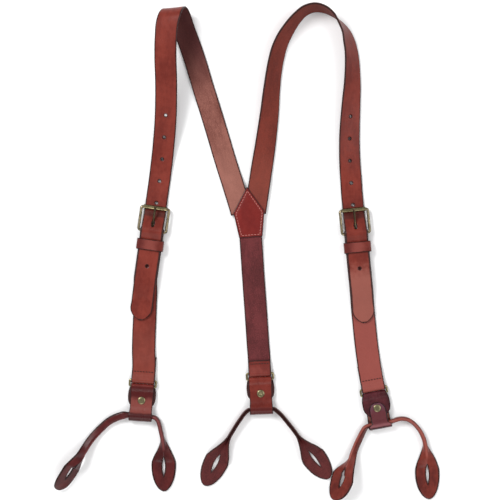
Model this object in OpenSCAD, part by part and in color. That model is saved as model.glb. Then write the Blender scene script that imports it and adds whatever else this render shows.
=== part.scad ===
// Leather Y-back suspenders with button ends, lying flat with the shoulder loops standing.
// +X is to the right, +Y runs up towards the shoulders and +Z points away from the surface it lies on.
// The origin is the middle of the yoke, on that surface.

/* [Straps] */
// Width of the two shoulder straps
shoulder_w = 25; // [20:0.5:30]
// Width of the two front straps, which hold the buckles
front_w = 27; // [22:0.5:32]
// Width of the back strap
back_w = 26; // [20:0.5:31]
// Thickness of the strap leather
strap_t = 2.2; // [1.6:0.1:2.8]
// How far the shoulder loops reach above the yoke
shoulder_rise = 234; // [180:1:285]
// Front strap from buckle bar to ring bar
front_len = 175; // [145:1:215]
// Back strap from the yoke's middle to its ring bar
back_len = 184; // [150:1:230]
// Free end of a shoulder strap past the buckle bar
tail_len = 103; // [85:1:125]

/* [Yoke] */
// Half width of the yoke patches at their shoulders
yoke_half_w = 17.8; // [15:0.1:20]
// Half width of the yoke patches at the foot
yoke_foot_half_w = 13.4; // [12:0.1:15]
// Yoke point above the origin
yoke_up = 30; // [27:0.5:36]
// Yoke foot below the origin
yoke_down = 28; // [25:0.5:34]
// Thickness of the yoke patches
patch_t = 1.6; // [1.2:0.1:2]

/* [Buckle] */
// Wire diameter of the buckle frame
frame_wire = 3.2; // [2.6:0.1:3.6]
// Distance from the buckle bar to the roller
frame_len = 27; // [26:0.5:32]
// Outer diameter of the roller
roller_d = 5; // [4.6:0.1:6]
// Diameter of the prong
prong_d = 2.4; // [1.8:0.1:2.8]
// Distance between adjusting holes
hole_pitch = 25.4; // [20:0.1:27]
// Diameter of the adjusting holes
hole_d = 4; // [3:0.1:5]
// Thickness of the keeper leather
keeper_t = 1.6; // [1.2:0.1:2]
// Length of the keeper along the strap
keeper_len = 12.5; // [9:0.5:14]

/* [Ring and tab] */
// Wire diameter of the rings
ring_wire = 2.4; // [2:0.1:3]
// Thickness of the tab leather
tab_t = 1.6; // [1.3:0.1:2]
// Width of the tab's flap
flap_w = 32; // [29:0.5:36]
// Width of the tab where it passes the ring and at its foot
tab_w = 27; // [23:0.5:29]
// Width of the tab's tongue
tongue_w = 19; // [15:0.5:21]
// Distance from the ring bar to the rivet
rivet_drop = 16; // [15:0.5:19]
// Distance from the ring bar to the middle of the tab's loop
loop_drop = 34; // [33:0.5:42]
// Diameter of the rivet's heads
rivet_head = 8.6; // [7:0.1:10]
// Diameter of the rivet's shaft
rivet_shaft = 3; // [2.4:0.1:3.6]

/* [Button strap] */
// Folded neck, from its crease to its open edge
neck_w = 8.6; // [7:0.1:10]
// Folded neck, across its two plies
neck_t = 4.6; // [3.8:0.1:5.2]
// Widest place of a leaf
leaf_w = 27; // [23:0.5:30]
// Thickness of a leaf
leaf_t = 2; // [1.6:0.1:2.6]
// Length of a button slit
slit_len = 23; // [18:0.5:26]
// Width of a button slit
slit_w = 4; // [3:0.1:4]

/* [Hidden] */

$fn = 48;

// Clearances
pivot_gap = 0.1;   // between a wire bar and the leather or eye that turns on it
frame_gap = 0.8;   // each side of a strap in its buckle
ring_gap = 0.4;    // each side of a strap or tab in its ring
lap_gap = 0.3;     // between leathers that lie on each other and move
glue_gap = 0.05;   // between leathers that are sewn together
thread_t = 0.25;   // how far a thread stands up
thread_w = 0.6;
stitch_pitch = 3;
stitch_len = 2.1;

// Heights above the surface
keeper_lift = keeper_t + lap_gap;                           // underside of a front strap in its keeper
bar_z = keeper_lift + strap_t + pivot_gap + frame_wire / 2; // buckle bar
bar_r = frame_wire / 2 + pivot_gap + strap_t / 2;           // middle of the strap round that bar
roller_z = strap_t + lap_gap + roller_d / 2;                // roller, resting over the shoulder strap
under_z = keeper_lift + strap_t / 2;                        // middle of a front strap's folded end
lap_z = under_z + strap_t + glue_gap;                       // middle of the front strap over it
tail_z = lap_z + strap_t + lap_gap;                         // middle of the shoulder strap over both
hump_z = bar_z + bar_r + strap_t + lap_gap;                 // the shoulder strap over the buckle bar
ring_z = strap_t + pivot_gap + ring_wire / 2;               // both bars of a ring
ring_r = ring_wire / 2 + pivot_gap + strap_t / 2;           // middle of the strap round the ring bar
yoke_z = patch_t + glue_gap + strap_t / 2;                  // straps inside the yoke

ring_span = ring_wire + 2 * pivot_gap + strap_t + tab_t + 0.8;
tunnel_w = 0.75 * neck_w;                                   // the neck is squeezed inside the loop
loop_r = norm([tunnel_w, neck_t]) / 2 + 0.3;               // inside of the tab's loop
tab_tilt = asin((loop_r + tab_t - ring_z) / loop_drop);     // the loop rests on the surface

frame_in = max(shoulder_w, front_w) + 2 * frame_gap;
ring_in = max(front_w, back_w, tab_w) + 2 * ring_gap;

// Frames: [x, y, turn about Z]. A strap leaves a buckle bar upwards and arrives at a ring bar downwards.
left_buckle = [-111, -21, -8];
right_buckle = [122.6, -23.5, 5.5];
left_hang = [-121.5, -21 - front_len + 4, -4];
right_hang = [142.5, -23.5 - front_len - 2.5, 10.5];
back_hang = [12.4, -back_len, 2.5];
yoke_turn = 4.5;

// ---------- ribbons ----------
// A station is [x, y, z, wx, wy, wz, width, thickness]; w points across the ribbon.

function place(s) = [s[0], s[1], s[2]];
function unit(v) = v / norm(v);
function gap(p, i) = norm(place(p[i + 1]) - place(p[i]));
function slope(p, i) =
    i == 0 ? (p[1] - p[0]) / gap(p, 0) :
    i == len(p) - 1 ? (p[i] - p[i - 1]) / gap(p, i - 1) :
    let (a = gap(p, i - 1), b = gap(p, i))
    ((p[i] - p[i - 1]) / a * b + (p[i + 1] - p[i]) / b * a) / (a + b);
function hermite(a, b, ma, mb, t) =
    (2 * t * t * t - 3 * t * t + 1) * a + (t * t * t - 2 * t * t + t) * ma
    + (3 * t * t - 2 * t * t * t) * b + (t * t * t - t * t) * mb;
// A smooth run through the stations, with a ring about every step
function smooth(p, step) = [
    for (i = [0 : len(p) - 2])
        let (h = gap(p, i), n = max(1, round(h / step)))
        for (j = [0 : n - 1]) hermite(p[i], p[i + 1], slope(p, i) * h, slope(p, i + 1) * h, j / n),
    p[len(p) - 1]];
function heading(q, i) =
    unit(place(q[min(i + 1, len(q) - 1)]) - place(q[max(i - 1, 0)]));
function across(q, i) =
    let (t = heading(q, i), w = [q[i][3], q[i][4], q[i][5]]) unit(w - (w * t) * t);
function outward(q, i) = cross(across(q, i), heading(q, i));
// Corners of a section as shares of half its width and thickness
square_section = [[1, 1], [1, -1], [-1, -1], [-1, 1]];
round_section = [[1, 0.4], [1, -0.4], [0.6, -1], [-0.6, -1], [-1, -0.4], [-1, 0.4], [-0.6, 1], [0.6, 1]];
module ribbon(q, section = square_section) {
    k = len(section);
    n = len(q);
    points = [for (i = [0 : n - 1]) for (c = section)
        place(q[i]) + across(q, i) * c[0] * q[i][6] / 2 + outward(q, i) * c[1] * q[i][7] / 2];
    sides = [for (i = [0 : n - 2]) for (j = [0 : k - 1])
        let (a = i * k + j, b = i * k + (j + 1) % k)
        each [[a, b, b + k], [a, b + k, a + k]]];
    caps = [for (j = [1 : k - 2]) each [[0, j + 1, j], [(n - 1) * k, (n - 1) * k + j,
        (n - 1) * k + j + 1]]];
    polyhedron(points, concat(sides, caps));
}
// Length along a run up to each of its rings
function lengths(q, i = 0, sum = 0) =
    i >= len(q) - 1 ? [sum] : concat([sum], lengths(q, i + 1, sum + gap(q, i)));
function ring_at(run, s) = min(len([for (v = run) if (v <= s) 1]) - 1, len(run) - 2);
// Length at which a run last comes down past the height y on the surface
function passing(q, run, y) =
    let (i = max([for (j = [0 : len(q) - 2]) if (q[j][1] > y) j]))
    run[i] + (q[i][1] - y) / (q[i][1] - q[i + 1][1]) * (run[i + 1] - run[i]);
// Puts its children on the ribbon, their Z along its outer face
module on_ribbon(q, run, s) {
    i = ring_at(run, s);
    f = (s - run[i]) / (run[i + 1] - run[i]);
    p = place(q[i]) * (1 - f) + place(q[i + 1]) * f;
    t = unit(place(q[i + 1]) - place(q[i]));
    w0 = [q[i][3], q[i][4], q[i][5]];
    w = unit(w0 - (w0 * t) * t);
    o = cross(w, t);
    multmatrix([[w[0], t[0], o[0], p[0]], [w[1], t[1], o[1], p[1]], [w[2], t[2], o[2], p[2]], [0, 0, 0, 1]])
        children();
}
// A station at u along a frame's strap and z above the surface
function along(f, u, z, w, t) =
    [f[0] - u * sin(f[2]), f[1] + u * cos(f[2]), z, cos(f[2]), sin(f[2]), 0, w, t];
// Stations round a bar at z, from the angle a to b; 0 is straight below it and 90 up the strap
function round_bar(f, z, r, a, b, w, t, n = 10) =
    [for (i = [0 : n]) let (g = a + (b - a) * i / n) along(f, r * sin(g), z - r * cos(g), w, t)];

module at(f) { translate([f[0], f[1], 0]) rotate(f[2]) children(); }

// ---------- shoulder straps ----------
// Heights on the surface above 40 follow the rise of the shoulder loops
function up(y) = y <= 40 ? y : 40 + (y - 40) * (shoulder_rise - 40) / 194;
function flat(x, y, z) = [x, up(y), z, 1, 0, 0, shoulder_w, strap_t];

// The strap in its buckle: under the roller, over the bar, through the keeper, and the pointed end
slope_z = [[22, 0], [16, 0.19], [10, 0.51], [4, 0.85 + (strap_t - 2.2) / 10], [0, 1]];
function in_buckle(f) = concat(
    [for (u = [44, 34, 27]) along(f, u, strap_t / 2, shoulder_w, strap_t)],
    [for (p = slope_z) along(f, p[0], strap_t / 2 + (hump_z - strap_t / 2) * p[1], shoulder_w, strap_t)],
    [along(f, -4.2, (hump_z + tail_z + strap_t) / 2 - 0.9, shoulder_w, strap_t)],
    [for (u = [-8.5, -20, -32, -44, -54, -57]) along(f, u, tail_z, shoulder_w, strap_t)],
    [for (p = [[-70, tail_z - 2], [-82, 1.5 * strap_t + lap_gap]]) if (p[0] > 14 - tail_len)
        along(f, p[0], p[1], shoulder_w, strap_t)],
    [for (p = [[12, 1], [9, 0.93], [6, 0.78], [3.5, 0.6], [1.5, 0.38], [0, 0.16]])
        along(f, p[0] - tail_len, 1.5 * strap_t + lap_gap, shoulder_w * p[1], strap_t)]);

// Left: a round loop; the front half comes back over the back half and slopes down to the surface
loop_h = 33;
left_run = smooth(concat([
    flat(-8.5, 0, yoke_z), flat(-12, 12, yoke_z), flat(-17.3, 29, yoke_z), flat(-18.2, 32, yoke_z),
    flat(-23, 47, 1.5),
    flat(-28, 63, strap_t / 2), flat(-36, 90, strap_t / 2), flat(-44.5, 118, strap_t / 2),
    flat(-53, 145, strap_t / 2), flat(-61, 172, strap_t / 2), flat(-67, 190, strap_t / 2),
    flat(-73.6, 208, strap_t / 2)],
    [for (g = [0 : 22.5 : 180]) let (s = loop_h / 2)
        [-76 - 15.5 * g / 180, shoulder_rise - 19 + s * sin(g), strap_t / 2 + s - s * cos(g),
            0.98, 0.16 * cos(g) + 0.1, 0.2 * sin(g), shoulder_w, strap_t]], [
    flat(-93.5, 195, 34), flat(-94, 172, 31), flat(-93.6, 150, 26), flat(-93.9, 130, 20.5),
    flat(-94.5, 115, 16.3), flat(-95.5, 100, 12.2), flat(-97, 85, 8), flat(-98.6, 70, 4.5),
    flat(-100.5, 55, 2.2), flat(-102.7, 38, strap_t / 2)],
    in_buckle(left_buckle)), 5);

// Right: the ribbon rolls onto its inner edge as it rises, stands at the top and lies down again
right_way = [
    [7, 0, 0], [8.8, 12, 0], [11.3, 29, 0], [11.8, 32, 0], [14, 47, 6], [16.5, 63, 12], [18.5, 76, 18],
        [20.4, 90, 23],
    [22.2, 104, 28], [23.8, 118, 33], [25, 132, 38], [26.4, 145, 42], [28, 158, 45], [30.2, 171, 47],
    [33.5, 185, 49], [38.5, 198, 54], [45.5, 210, 60], [54.5, 222, 67], [64, 230.5, 72], [75, 234, 77],
    [86, 232, 83], [96, 226, 92], [104, 217, 105], [110.5, 207, 116], [114, 197, 125], [116.8, 184, 130],
    [118, 170, 135], [118.2, 157, 139], [118, 144, 144], [117.2, 131, 149], [116.4, 117, 154],
    [115.7, 103, 159], [115.2, 89, 163], [115.2, 76, 166], [115.6, 62, 170], [116.3, 49, 174], [117.2, 38,
        178]];
function stand(way, i) =
    let (a = way[max(i - 1, 0)], b = way[min(i + 1, len(way) - 1)],
        d = unit([b[0] - a[0], up(b[1]) - up(a[1])]), g = way[i][2],
        lie = i < 4 ? yoke_z : i < 5 ? 1.6 : strap_t / 2 * abs(cos(g)),
        z = lie + shoulder_w / 2 * sin(g))
    [way[i][0], up(way[i][1]), z, d[1] * cos(g), -d[0] * cos(g), -sin(g), shoulder_w, strap_t];
right_run = smooth(concat([for (i = [0 : len(right_way) - 1]) stand(right_way, i)],
    in_buckle(right_buckle)), 5);

prong_at = 8.7;      // where the prong comes up through the shoulder strap
worn_len = 2.4 * strap_t + 0.8;  // its slanted way through the leather
holes_up = 5;        // adjusting holes above the prong
holes_down = 2;      // and below it
module shoulder_strap(q, f, side) {
    run = lengths(q);
    s = passing(q, run, f[1] + prong_at * cos(f[2]));
    difference() {
        ribbon(q);
        for (k = [-holes_up : holes_down]) if (k != 0)
            on_ribbon(q, run, s + k * hole_pitch) cylinder(d = hole_d, h = 4 * strap_t, center = true);
        // The prong's own hole is worn long
        on_ribbon(q, run, s + 0.8) {
            for (y = [-0.5, 0.5]) translate([0, y * worn_len, 0]) cylinder(d = prong_d + 1.2,
                h = 4 * strap_t, center = true);
            cube([prong_d + 1.2, worn_len, 4 * strap_t], center = true);
        }
        // Mitred ends meet in the yoke
        rotate(yoke_turn) translate([side > 0 ? -59.9 : -0.1, -60, -1]) cube([60, 90, 8]);
        rotate(yoke_turn) translate([-60, -60, -1]) cube([120, 57.5, 8]);
    }
}
module left_shoulder_strap() { color("#8a3a34") shoulder_strap(left_run, left_buckle, -1); }
module right_shoulder_strap() { color("#8a3a34") shoulder_strap(right_run, right_buckle, 1); }

// ---------- front straps ----------
lap_len = 52;        // folded end under a front strap at its buckle
seam_u = 46;         // its seam, clear of the keeper's travel
hang_lap = 27;       // folded end under a front strap at its ring
slot_w = prong_d + 1.8;
// Height between a fold's crown and the two plies lying flat
function eased(crown, share) = 1.5 * strap_t + glue_gap + (crown - 1.5 * strap_t - glue_gap) * share;
function over_ring(f, w, up_len) = concat(
    [for (u = [15, 9]) along(f, u, 1.5 * strap_t + glue_gap, w, strap_t)],
    [for (p = [[6.5, 0.09], [4, 0.41]]) along(f, p[0], eased(ring_z + ring_r, p[1]), w, strap_t)],
    round_bar(f, ring_z, ring_r, 157, 360, w, strap_t),
    [along(f, 8, strap_t / 2, w, strap_t), along(f, up_len, strap_t / 2, w, strap_t)]);
// Distances below the buckle of more than 85 follow the front strap's length
function down(d) = d < 85 ? d : 85 + (d - 85) * (front_len - 85) / 90;
function front_run(f, way, h) = smooth(concat(
    [along(f, -lap_len, under_z, front_w, strap_t), along(f, -30, under_z, front_w, strap_t),
        along(f, -8, under_z, front_w, strap_t)],
    round_bar(f, bar_z, bar_r, 0, 203, front_w, strap_t),
    [for (p = [[-4.6, 0.48], [-7.2, 0.11]])
        along(f, p[0], lap_z + (bar_z + bar_r - lap_z) * p[1], front_w, strap_t)],
    [for (u = [-9, -20, -35, -50, -54]) along(f, u, lap_z, front_w, strap_t)],
    [for (p = way) [p[0], f[1] - down(f[1] - p[1]), p[2], 1, 0, 0, front_w, strap_t]],
    over_ring(h, front_w, hang_lap)), 5);
left_front_run = front_run(left_buckle,
    [[-118.7, -92, 2], [-119.3, -105, strap_t / 2], [-120, -125, strap_t / 2], [-120.8, -145, strap_t / 2],
        [-121, -158, 1.6]], left_hang);
right_front_run = front_run(right_buckle,
    [[129.6, -95, 2], [130.6, -108, strap_t / 2], [132.2, -125, strap_t / 2], [134.3, -146, strap_t / 2],
        [136.8, -166, 1.6]], right_hang);
module front_strap(q, f) {
    difference() {
        ribbon(q);
        at(f) translate([-slot_w / 2, -8, keeper_lift - 1]) cube([slot_w, 14, 12]);
    }
}
module left_front_strap() { color("#8a3a34") front_strap(left_front_run, left_buckle); }
module right_front_strap() { color("#8a3a34") front_strap(right_front_run, right_buckle); }

// ---------- back strap ----------
back_lap = 15;       // its end is folded over on the upper side
back_run = smooth(concat(
    [for (p = [[0, 0, yoke_z], [1, -12, yoke_z], [2, -28, yoke_z], [2.2, -31, yoke_z], [3.2, -46, 1.5],
        [4.6, -68, strap_t / 2],
        [6.6, -96, strap_t / 2], [8.6, -124, strap_t / 2], [10.4, -151, strap_t / 2]])
        [p[0], p[1] * (p[1] < -40 ? back_len / 184 : 1), p[2], 1, 0, 0, back_w, strap_t]],
    [along(back_hang, 16, strap_t / 2, back_w, strap_t), along(back_hang, 6, strap_t / 2, back_w, strap_t)],
    round_bar(back_hang, ring_z, ring_r, 0, -203, back_w, strap_t),
    [for (p = [[4, 0.41], [6.5, 0.09]]) along(back_hang, p[0], eased(ring_z + ring_r, p[1]), back_w,
        strap_t)],
    [for (u = [9, back_lap]) along(back_hang, u, 1.5 * strap_t + glue_gap, back_w, strap_t)]), 5);
module back_strap() {
    color("#7c2f33") difference() {
        ribbon(back_run);
        rotate(yoke_turn) translate([-60, -2.4, -1]) cube([120, 60, 8]);
    }
}

// ---------- yoke ----------
function yoke_outline(in) =
    let (a = atan2(yoke_up - 1, yoke_half_w), b = atan2(yoke_half_w - yoke_foot_half_w, yoke_down + 1))
    [[0, yoke_up - in / cos(a)], [yoke_half_w - in * 1.05, 1 - in * 0.45],
        [yoke_foot_half_w - in * 1.1, -yoke_down + in], [-yoke_foot_half_w + in * 1.1, -yoke_down + in],
        [-yoke_half_w + in * 1.05, 1 - in * 0.45]];
module patch() { rotate(yoke_turn) linear_extrude(patch_t) polygon(yoke_outline(0)); }
module yoke_outer_patch() { color("#7a2b2b") patch(); }
top_z = patch_t + 2 * glue_gap + strap_t;
module yoke_inner_patch() { color("#7a2b2b") translate([0, 0, top_z]) patch(); }
// A row of threads from a to b on the surface z
module stitch_row(a, b, z, pitch = stitch_pitch) {
    d = b - a;
    n = max(1, floor((norm(d) - 0.6) / pitch));
    for (i = [0 : n - 1]) translate([a[0], a[1], z] + [d[0], d[1], 0] * (i + 0.5) / n)
        rotate(atan2(d[1], d[0])) translate([-stitch_len / 2, -thread_w / 2, 0])
            cube([stitch_len, thread_w, thread_t]);
}
module yoke_stitching() {
    p = yoke_outline(2.6);
    color("#c9807c") rotate(yoke_turn) for (i = [0 : 4])
        stitch_row(p[i], p[(i + 1) % 5], top_z + patch_t);
}

// ---------- seams ----------
module cross_seam(f, w, u, z) { at(f) stitch_row([-w / 2 + 2, u], [w / 2 - 2, u], z); }
sewn_z = 2 * strap_t + glue_gap;
module left_ring_stitching() { color("#3a1a18") cross_seam(left_hang, front_w, 9.8, sewn_z); }
module right_ring_stitching() { color("#3a1a18") cross_seam(right_hang, front_w, 9.8, sewn_z); }
module back_ring_stitching() { color("#3a1a18") cross_seam(back_hang, back_w, 11, sewn_z); }
module left_buckle_stitching() {
    color("#3a1a18") cross_seam(left_buckle, front_w, -seam_u, lap_z + strap_t / 2);
}
module right_buckle_stitching() {
    color("#3a1a18") cross_seam(right_buckle, front_w, -seam_u, lap_z + strap_t / 2);
}

// ---------- wire parts ----------
// A wire loop in the XY plane: bars along X at y 0 and len, straight sides, round corners
module wire_loop(inner_w, len, d, corner) {
    x = (inner_w + d) / 2;
    for (y = [0, len]) translate([-x + corner, y, 0]) rotate([0, 90, 0]) cylinder(d = d,
        h = 2 * (x - corner));
    for (s = [-1, 1]) translate([s * x, corner, 0]) rotate([-90, 0, 0]) cylinder(d = d,
        h = len - 2 * corner);
    for (c = [[1, 1, 0], [-1, 1, 90], [-1, -1, 180], [1, -1, 270]])
        translate([c[0] * (x - corner), c[1] > 0 ? len - corner : corner, 0]) rotate(c[2])
            rotate_extrude(angle = 90) translate([corner, 0]) circle(d = d);
}

// ---------- buckles ----------
frame_corner = frame_wire / 2 + frame_gap - 0.1;
frame_dip = asin((roller_z - bar_z) / frame_len);
roller_len = frame_in + frame_wire - 2 * frame_corner - 0.4;
module on_frame(f) { at(f) translate([0, 0, bar_z]) rotate([frame_dip, 0, 0]) children(); }
module buckle_frame(f) { color("#8d7a4e") on_frame(f) wire_loop(frame_in, frame_len, frame_wire,
    frame_corner); }
module buckle_roller(f) {
    color("#9a8757") on_frame(f) translate([-roller_len / 2, frame_len, 0]) rotate([0, 90,
        0]) difference() {
        cylinder(d = roller_d, h = roller_len);
        translate([0, 0, -1]) cylinder(d = frame_wire + 2 * pivot_gap, h = roller_len + 2);
    }
}
// The prong: an eye round the bar and a tongue that rests on the roller
eye_t = 1.7;
eye_w = prong_d + 0.6;
prong_len = frame_len + 1.2;
prong_rise = asin((roller_z + roller_d / 2 + prong_d / 2 + 0.2 - bar_z) / frame_len);
module buckle_prong(f) {
    color("#8d7a4e") at(f) translate([0, 0, bar_z]) rotate([prong_rise, 0, 0]) difference() {
        union() {
            rotate([0, 90, 0]) cylinder(r = frame_wire / 2 + pivot_gap + eye_t, h = eye_w, center = true);
            rotate([-90, 0, 0]) cylinder(d = prong_d, h = prong_len);
            translate([0, prong_len, 0]) sphere(d = prong_d);
        }
        rotate([0, 90, 0]) cylinder(r = frame_wire / 2 + pivot_gap, h = eye_w + 2, center = true);
    }
}
module left_buckle_frame() { buckle_frame(left_buckle); }
module left_buckle_roller() { buckle_roller(left_buckle); }
module left_buckle_prong() { buckle_prong(left_buckle); }
module right_buckle_frame() { buckle_frame(right_buckle); }
module right_buckle_roller() { buckle_roller(right_buckle); }
module right_buckle_prong() { buckle_prong(right_buckle); }

// ---------- keepers ----------
keeper_u = 16;       // middle of the keeper below the buckle bar
module rounded(w, h, r) {
    square([w - 2 * r, h], center = true);
    square([w, h - 2 * r], center = true);
    for (x = [-1, 1]) for (y = [-1, 1]) translate([x * (w / 2 - r), y * (h / 2 - r)]) circle(r = r);
}
module keeper(f) {
    w = front_w + 2 * lap_gap;
    h = tail_z + strap_t / 2 + lap_gap - keeper_t;
    color("#7c322d") at(f) translate([0, -keeper_u, keeper_t + h / 2]) rotate([90, 0, 0])
        linear_extrude(keeper_len, center = true) difference() {
            rounded(w + 2 * keeper_t, h + 2 * keeper_t, keeper_t + 0.1);
            square([w, h], center = true);
        }
}
module left_keeper() { keeper(left_buckle); }
module right_keeper() { keeper(right_buckle); }

// ---------- rings ----------
module ring(f) {
    color("#8d7a4e") at(f) translate([0, -ring_span, ring_z])
        wire_loop(ring_in, ring_span, ring_wire, ring_wire / 2 + ring_gap);
}
module left_ring() { ring(left_hang); }
module right_ring() { ring(right_hang); }
module back_ring() { ring(back_hang); }

// ---------- end tabs ----------
// The tab's middle line as [distance below the ring bar, height]: flap, round the bar, down, loop, tongue
ply = tab_t + glue_gap;
bar2_r = ring_wire / 2 + pivot_gap + tab_t / 2;
eye_r = loop_r + tab_t / 2;
flap_len = rivet_drop + 8.5;
tongue_from = rivet_drop - 6.5;
flap_line = [[flap_len, -ply / 2], [14, -ply / 2], [8, -ply / 2], [6, -ply / 2 - 0.12], [3.6,
    -bar2_r + 0.55],
    [1.6, -bar2_r + 0.08]];
bar_line = [for (g = [0 : 18 : 180]) [-bar2_r * sin(g), -bar2_r * cos(g)]];
down_line = [[1.6, bar2_r - 0.08], [3.6, bar2_r - 0.55], [6, ply / 2 + 0.12], [8, ply / 2], [14, ply / 2],
    [flap_len + 0.5, ply / 2], [loop_drop - 6.6, 1.6]];
loop_line = [for (g = [140 : -14 : -140]) [loop_drop + eye_r * cos(g), eye_r * sin(g)]];
tongue_line = [[loop_drop - 6.4, -1.5 * ply - 0.1], [flap_len + 0.5, -1.5 * ply], [tongue_from,
    -1.5 * ply]];
tab_line = concat(flap_line, bar_line, down_line, loop_line, tongue_line);
n1 = len(flap_line);
n2 = n1 + len(bar_line);
n3 = n2 + len(down_line);
n4 = n3 + len(loop_line);
n5 = len(tab_line);
function normal2(p, i) =
    let (d = unit(p[min(i + 1, len(p) - 1)] - p[max(i - 1, 0)])) [-d[1], d[0]];
// Part of the tab between two points of its line, across the width w
module tab_slab(from, to, w) {
    outer = [for (i = [from : to]) tab_line[i] + normal2(tab_line, i) * tab_t / 2];
    inner = [for (i = [to : -1 : from]) tab_line[i] - normal2(tab_line, i) * tab_t / 2];
    rotate([90, 0, -90]) translate([0, 0, -w / 2]) linear_extrude(w) polygon(concat(outer, inner));
}
module round_end(w, y0, y1, r) {
    linear_extrude(20, center = true) {
        translate([-w / 2, min(y0, y1 + r)]) square([w, abs(y0 - y1) - r]);
        translate([-w / 2 + r, y1]) square([w - 2 * r, r + 0.1]);
        for (x = [-1, 1]) translate([x * (w / 2 - r), y1 + r]) circle(r = r);
    }
}
module tab_body() {
    flare = 3.4;
    difference() {
        union() {
            tab_slab(n1 - 4, n4 - 1, tab_w);
            intersection() {
                tab_slab(0, n1 - 1, flap_w + 2);
                union() {
                    translate([-tab_w / 2, -flap_len - 1, -10]) cube([tab_w, flap_len + 1, 20]);
                    translate([0, 0, 0]) round_end(flap_w, -flare, -flap_len - 1, 9);
                }
            }
            intersection() {
                tab_slab(n3 + 14, n5 - 1, tongue_w);
                rotate(180) round_end(tongue_w, loop_drop + 10, tongue_from, 7);
            }
        }
        translate([0, -rivet_drop, 0]) cylinder(d = rivet_shaft + 0.1, h = 20, center = true);
    }
}
// On a tab; side 1 has the long ply on the upper side, side -1 the tongue
module on_tab(f, side) {
    at(f) translate([0, -ring_span, ring_z]) rotate([-tab_tilt, 0, 0])
        rotate([0, side > 0 ? 0 : 180, 0]) children();
}
LEFT_SIDE = 1;
RIGHT_SIDE = -1;
BACK_SIDE = 1;
// Rivet: the cap is on the long ply, or on the tongue when flipped
stack_hi = ply / 2 + tab_t / 2;
stack_lo = -1.5 * ply - tab_t / 2;
module at_rivet(flip) {
    mid = (stack_hi + stack_lo) / 2;
    translate([0, -rivet_drop, mid]) rotate([0, flip ? 180 : 0, 0]) children();
}
rivet_half = (stack_hi - stack_lo) / 2;
module rivet_cap(flip) {
    at_rivet(flip) translate([0, 0, rivet_half]) {
        cylinder(d = rivet_head, h = 0.5);
        translate([0, 0, 0.5]) cylinder(d1 = rivet_head, d2 = rivet_head - 1.4, h = 0.4);
    }
}
module rivet_post(flip) {
    at_rivet(flip) {
        translate([0, 0, -rivet_half]) cylinder(d = rivet_shaft, h = 2 * rivet_half);
        difference() {
            translate([0, 0, -rivet_half - 0.9]) {
                translate([0, 0, 0.4]) cylinder(d = rivet_head, h = 0.5);
                cylinder(d1 = rivet_head - 1.4, d2 = rivet_head, h = 0.4);
            }
            translate([0, 0, -rivet_half - 1]) cylinder(d = rivet_shaft - 0.6, h = 0.6);
        }
    }
}
module left_end_tab() { color("#84362f") on_tab(left_hang, LEFT_SIDE) tab_body(); }
module right_end_tab() { color("#84362f") on_tab(right_hang, RIGHT_SIDE) tab_body(); }
module back_end_tab() { color("#84362f") on_tab(back_hang, BACK_SIDE) tab_body(); }
module left_rivet_cap() { color("#a08a55") on_tab(left_hang, LEFT_SIDE) rivet_cap(false); }
module left_rivet_post() { color("#a08a55") on_tab(left_hang, LEFT_SIDE) rivet_post(false); }
module right_rivet_cap() { color("#a08a55") on_tab(right_hang, RIGHT_SIDE) rivet_cap(true); }
module right_rivet_post() { color("#a08a55") on_tab(right_hang, RIGHT_SIDE) rivet_post(true); }
module back_rivet_cap() { color("#a08a55") on_tab(back_hang, BACK_SIDE) rivet_cap(true); }
module back_rivet_post() { color("#a08a55") on_tab(back_hang, BACK_SIDE) rivet_post(true); }

// ---------- button straps ----------
// Both legs are given from the middle of the loop outwards, as [x, y, z, roll, spread]:
// roll leans the leaf about its own length; spread goes from 0, the folded neck, to 1, the open leaf,
// and the last value narrows the leaf towards its tip.
eye_z = loop_r + tab_t;
function loop_at(f) = [f[0] + (ring_span + loop_drop * cos(tab_tilt)) * sin(f[2]),
    f[1] - (ring_span + loop_drop * cos(tab_tilt)) * cos(f[2])];
function leg_w(p) = (neck_t + (leaf_w - neck_t) * p[4]) * p[5];
function leg_t(p) = neck_w + (leaf_t - neck_w) * min(1, 1.6 * p[4]);
// A taller neck stands higher
function leg_z(p) = p[2] + (neck_w - 8.6) / 2 * (1 - min(1, 1.6 * p[4])) * abs(cos(p[3]));
// Width direction: level and square to the way, leant by the roll
function leg_station(way, i, c, dir) =
    let (p = way[i], a = way[max(i - 1, 0)], b = way[min(i + 1, len(way) - 1)],
        d = unit([b[0] - a[0], b[1] - a[1]]) * dir, g = p[3])
    [c[0] + p[0], c[1] + p[1], leg_z(p), d[1] * cos(g), -d[0] * cos(g), sin(g), leg_w(p), leg_t(p)];
function in_tunnel(f, c, x, roll) =
    [c[0] + x * cos(f[2]), c[1] + x * sin(f[2]), eye_z,
        sin(f[2]) * cos(roll), -cos(f[2]) * cos(roll), sin(roll), neck_t, tunnel_w];
function both_legs(f, left, right, roll_l, roll_r) =
    let (c = loop_at(f), back = [for (i = [len(left) - 1 : -1 : 0]) left[i]])
    smooth(concat(
        [for (i = [0 : len(back) - 1]) leg_station(back, i, c, 1)],
        [in_tunnel(f, c, -tab_w / 2 - 0.6, roll_l), in_tunnel(f, c, -tab_w / 2 + 2, roll_l),
            in_tunnel(f, c, -4, roll_l * 0.8 + roll_r * 0.2), in_tunnel(f, c, 4,
                roll_l * 0.2 + roll_r * 0.8),
            in_tunnel(f, c, tab_w / 2 - 2, roll_r), in_tunnel(f, c, tab_w / 2 + 0.6, roll_r)],
        [for (i = [0 : len(right) - 1]) leg_station(right, i, c, 1)]), 4);
function lens(l, w) = (l * l / 4 + w * w / 4) / w;
module slit(l, w) {
    r = lens(l, w);
    intersection() {
        translate([r - w / 2, 0, 0]) cylinder(r = r, h = 30, center = true, $fn = 120);
        translate([-r + w / 2, 0, 0]) cylinder(r = r, h = 30, center = true, $fn = 120);
    }
}
slit_back = 28.5;      // middle of a slit from the leaf's tip
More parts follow.
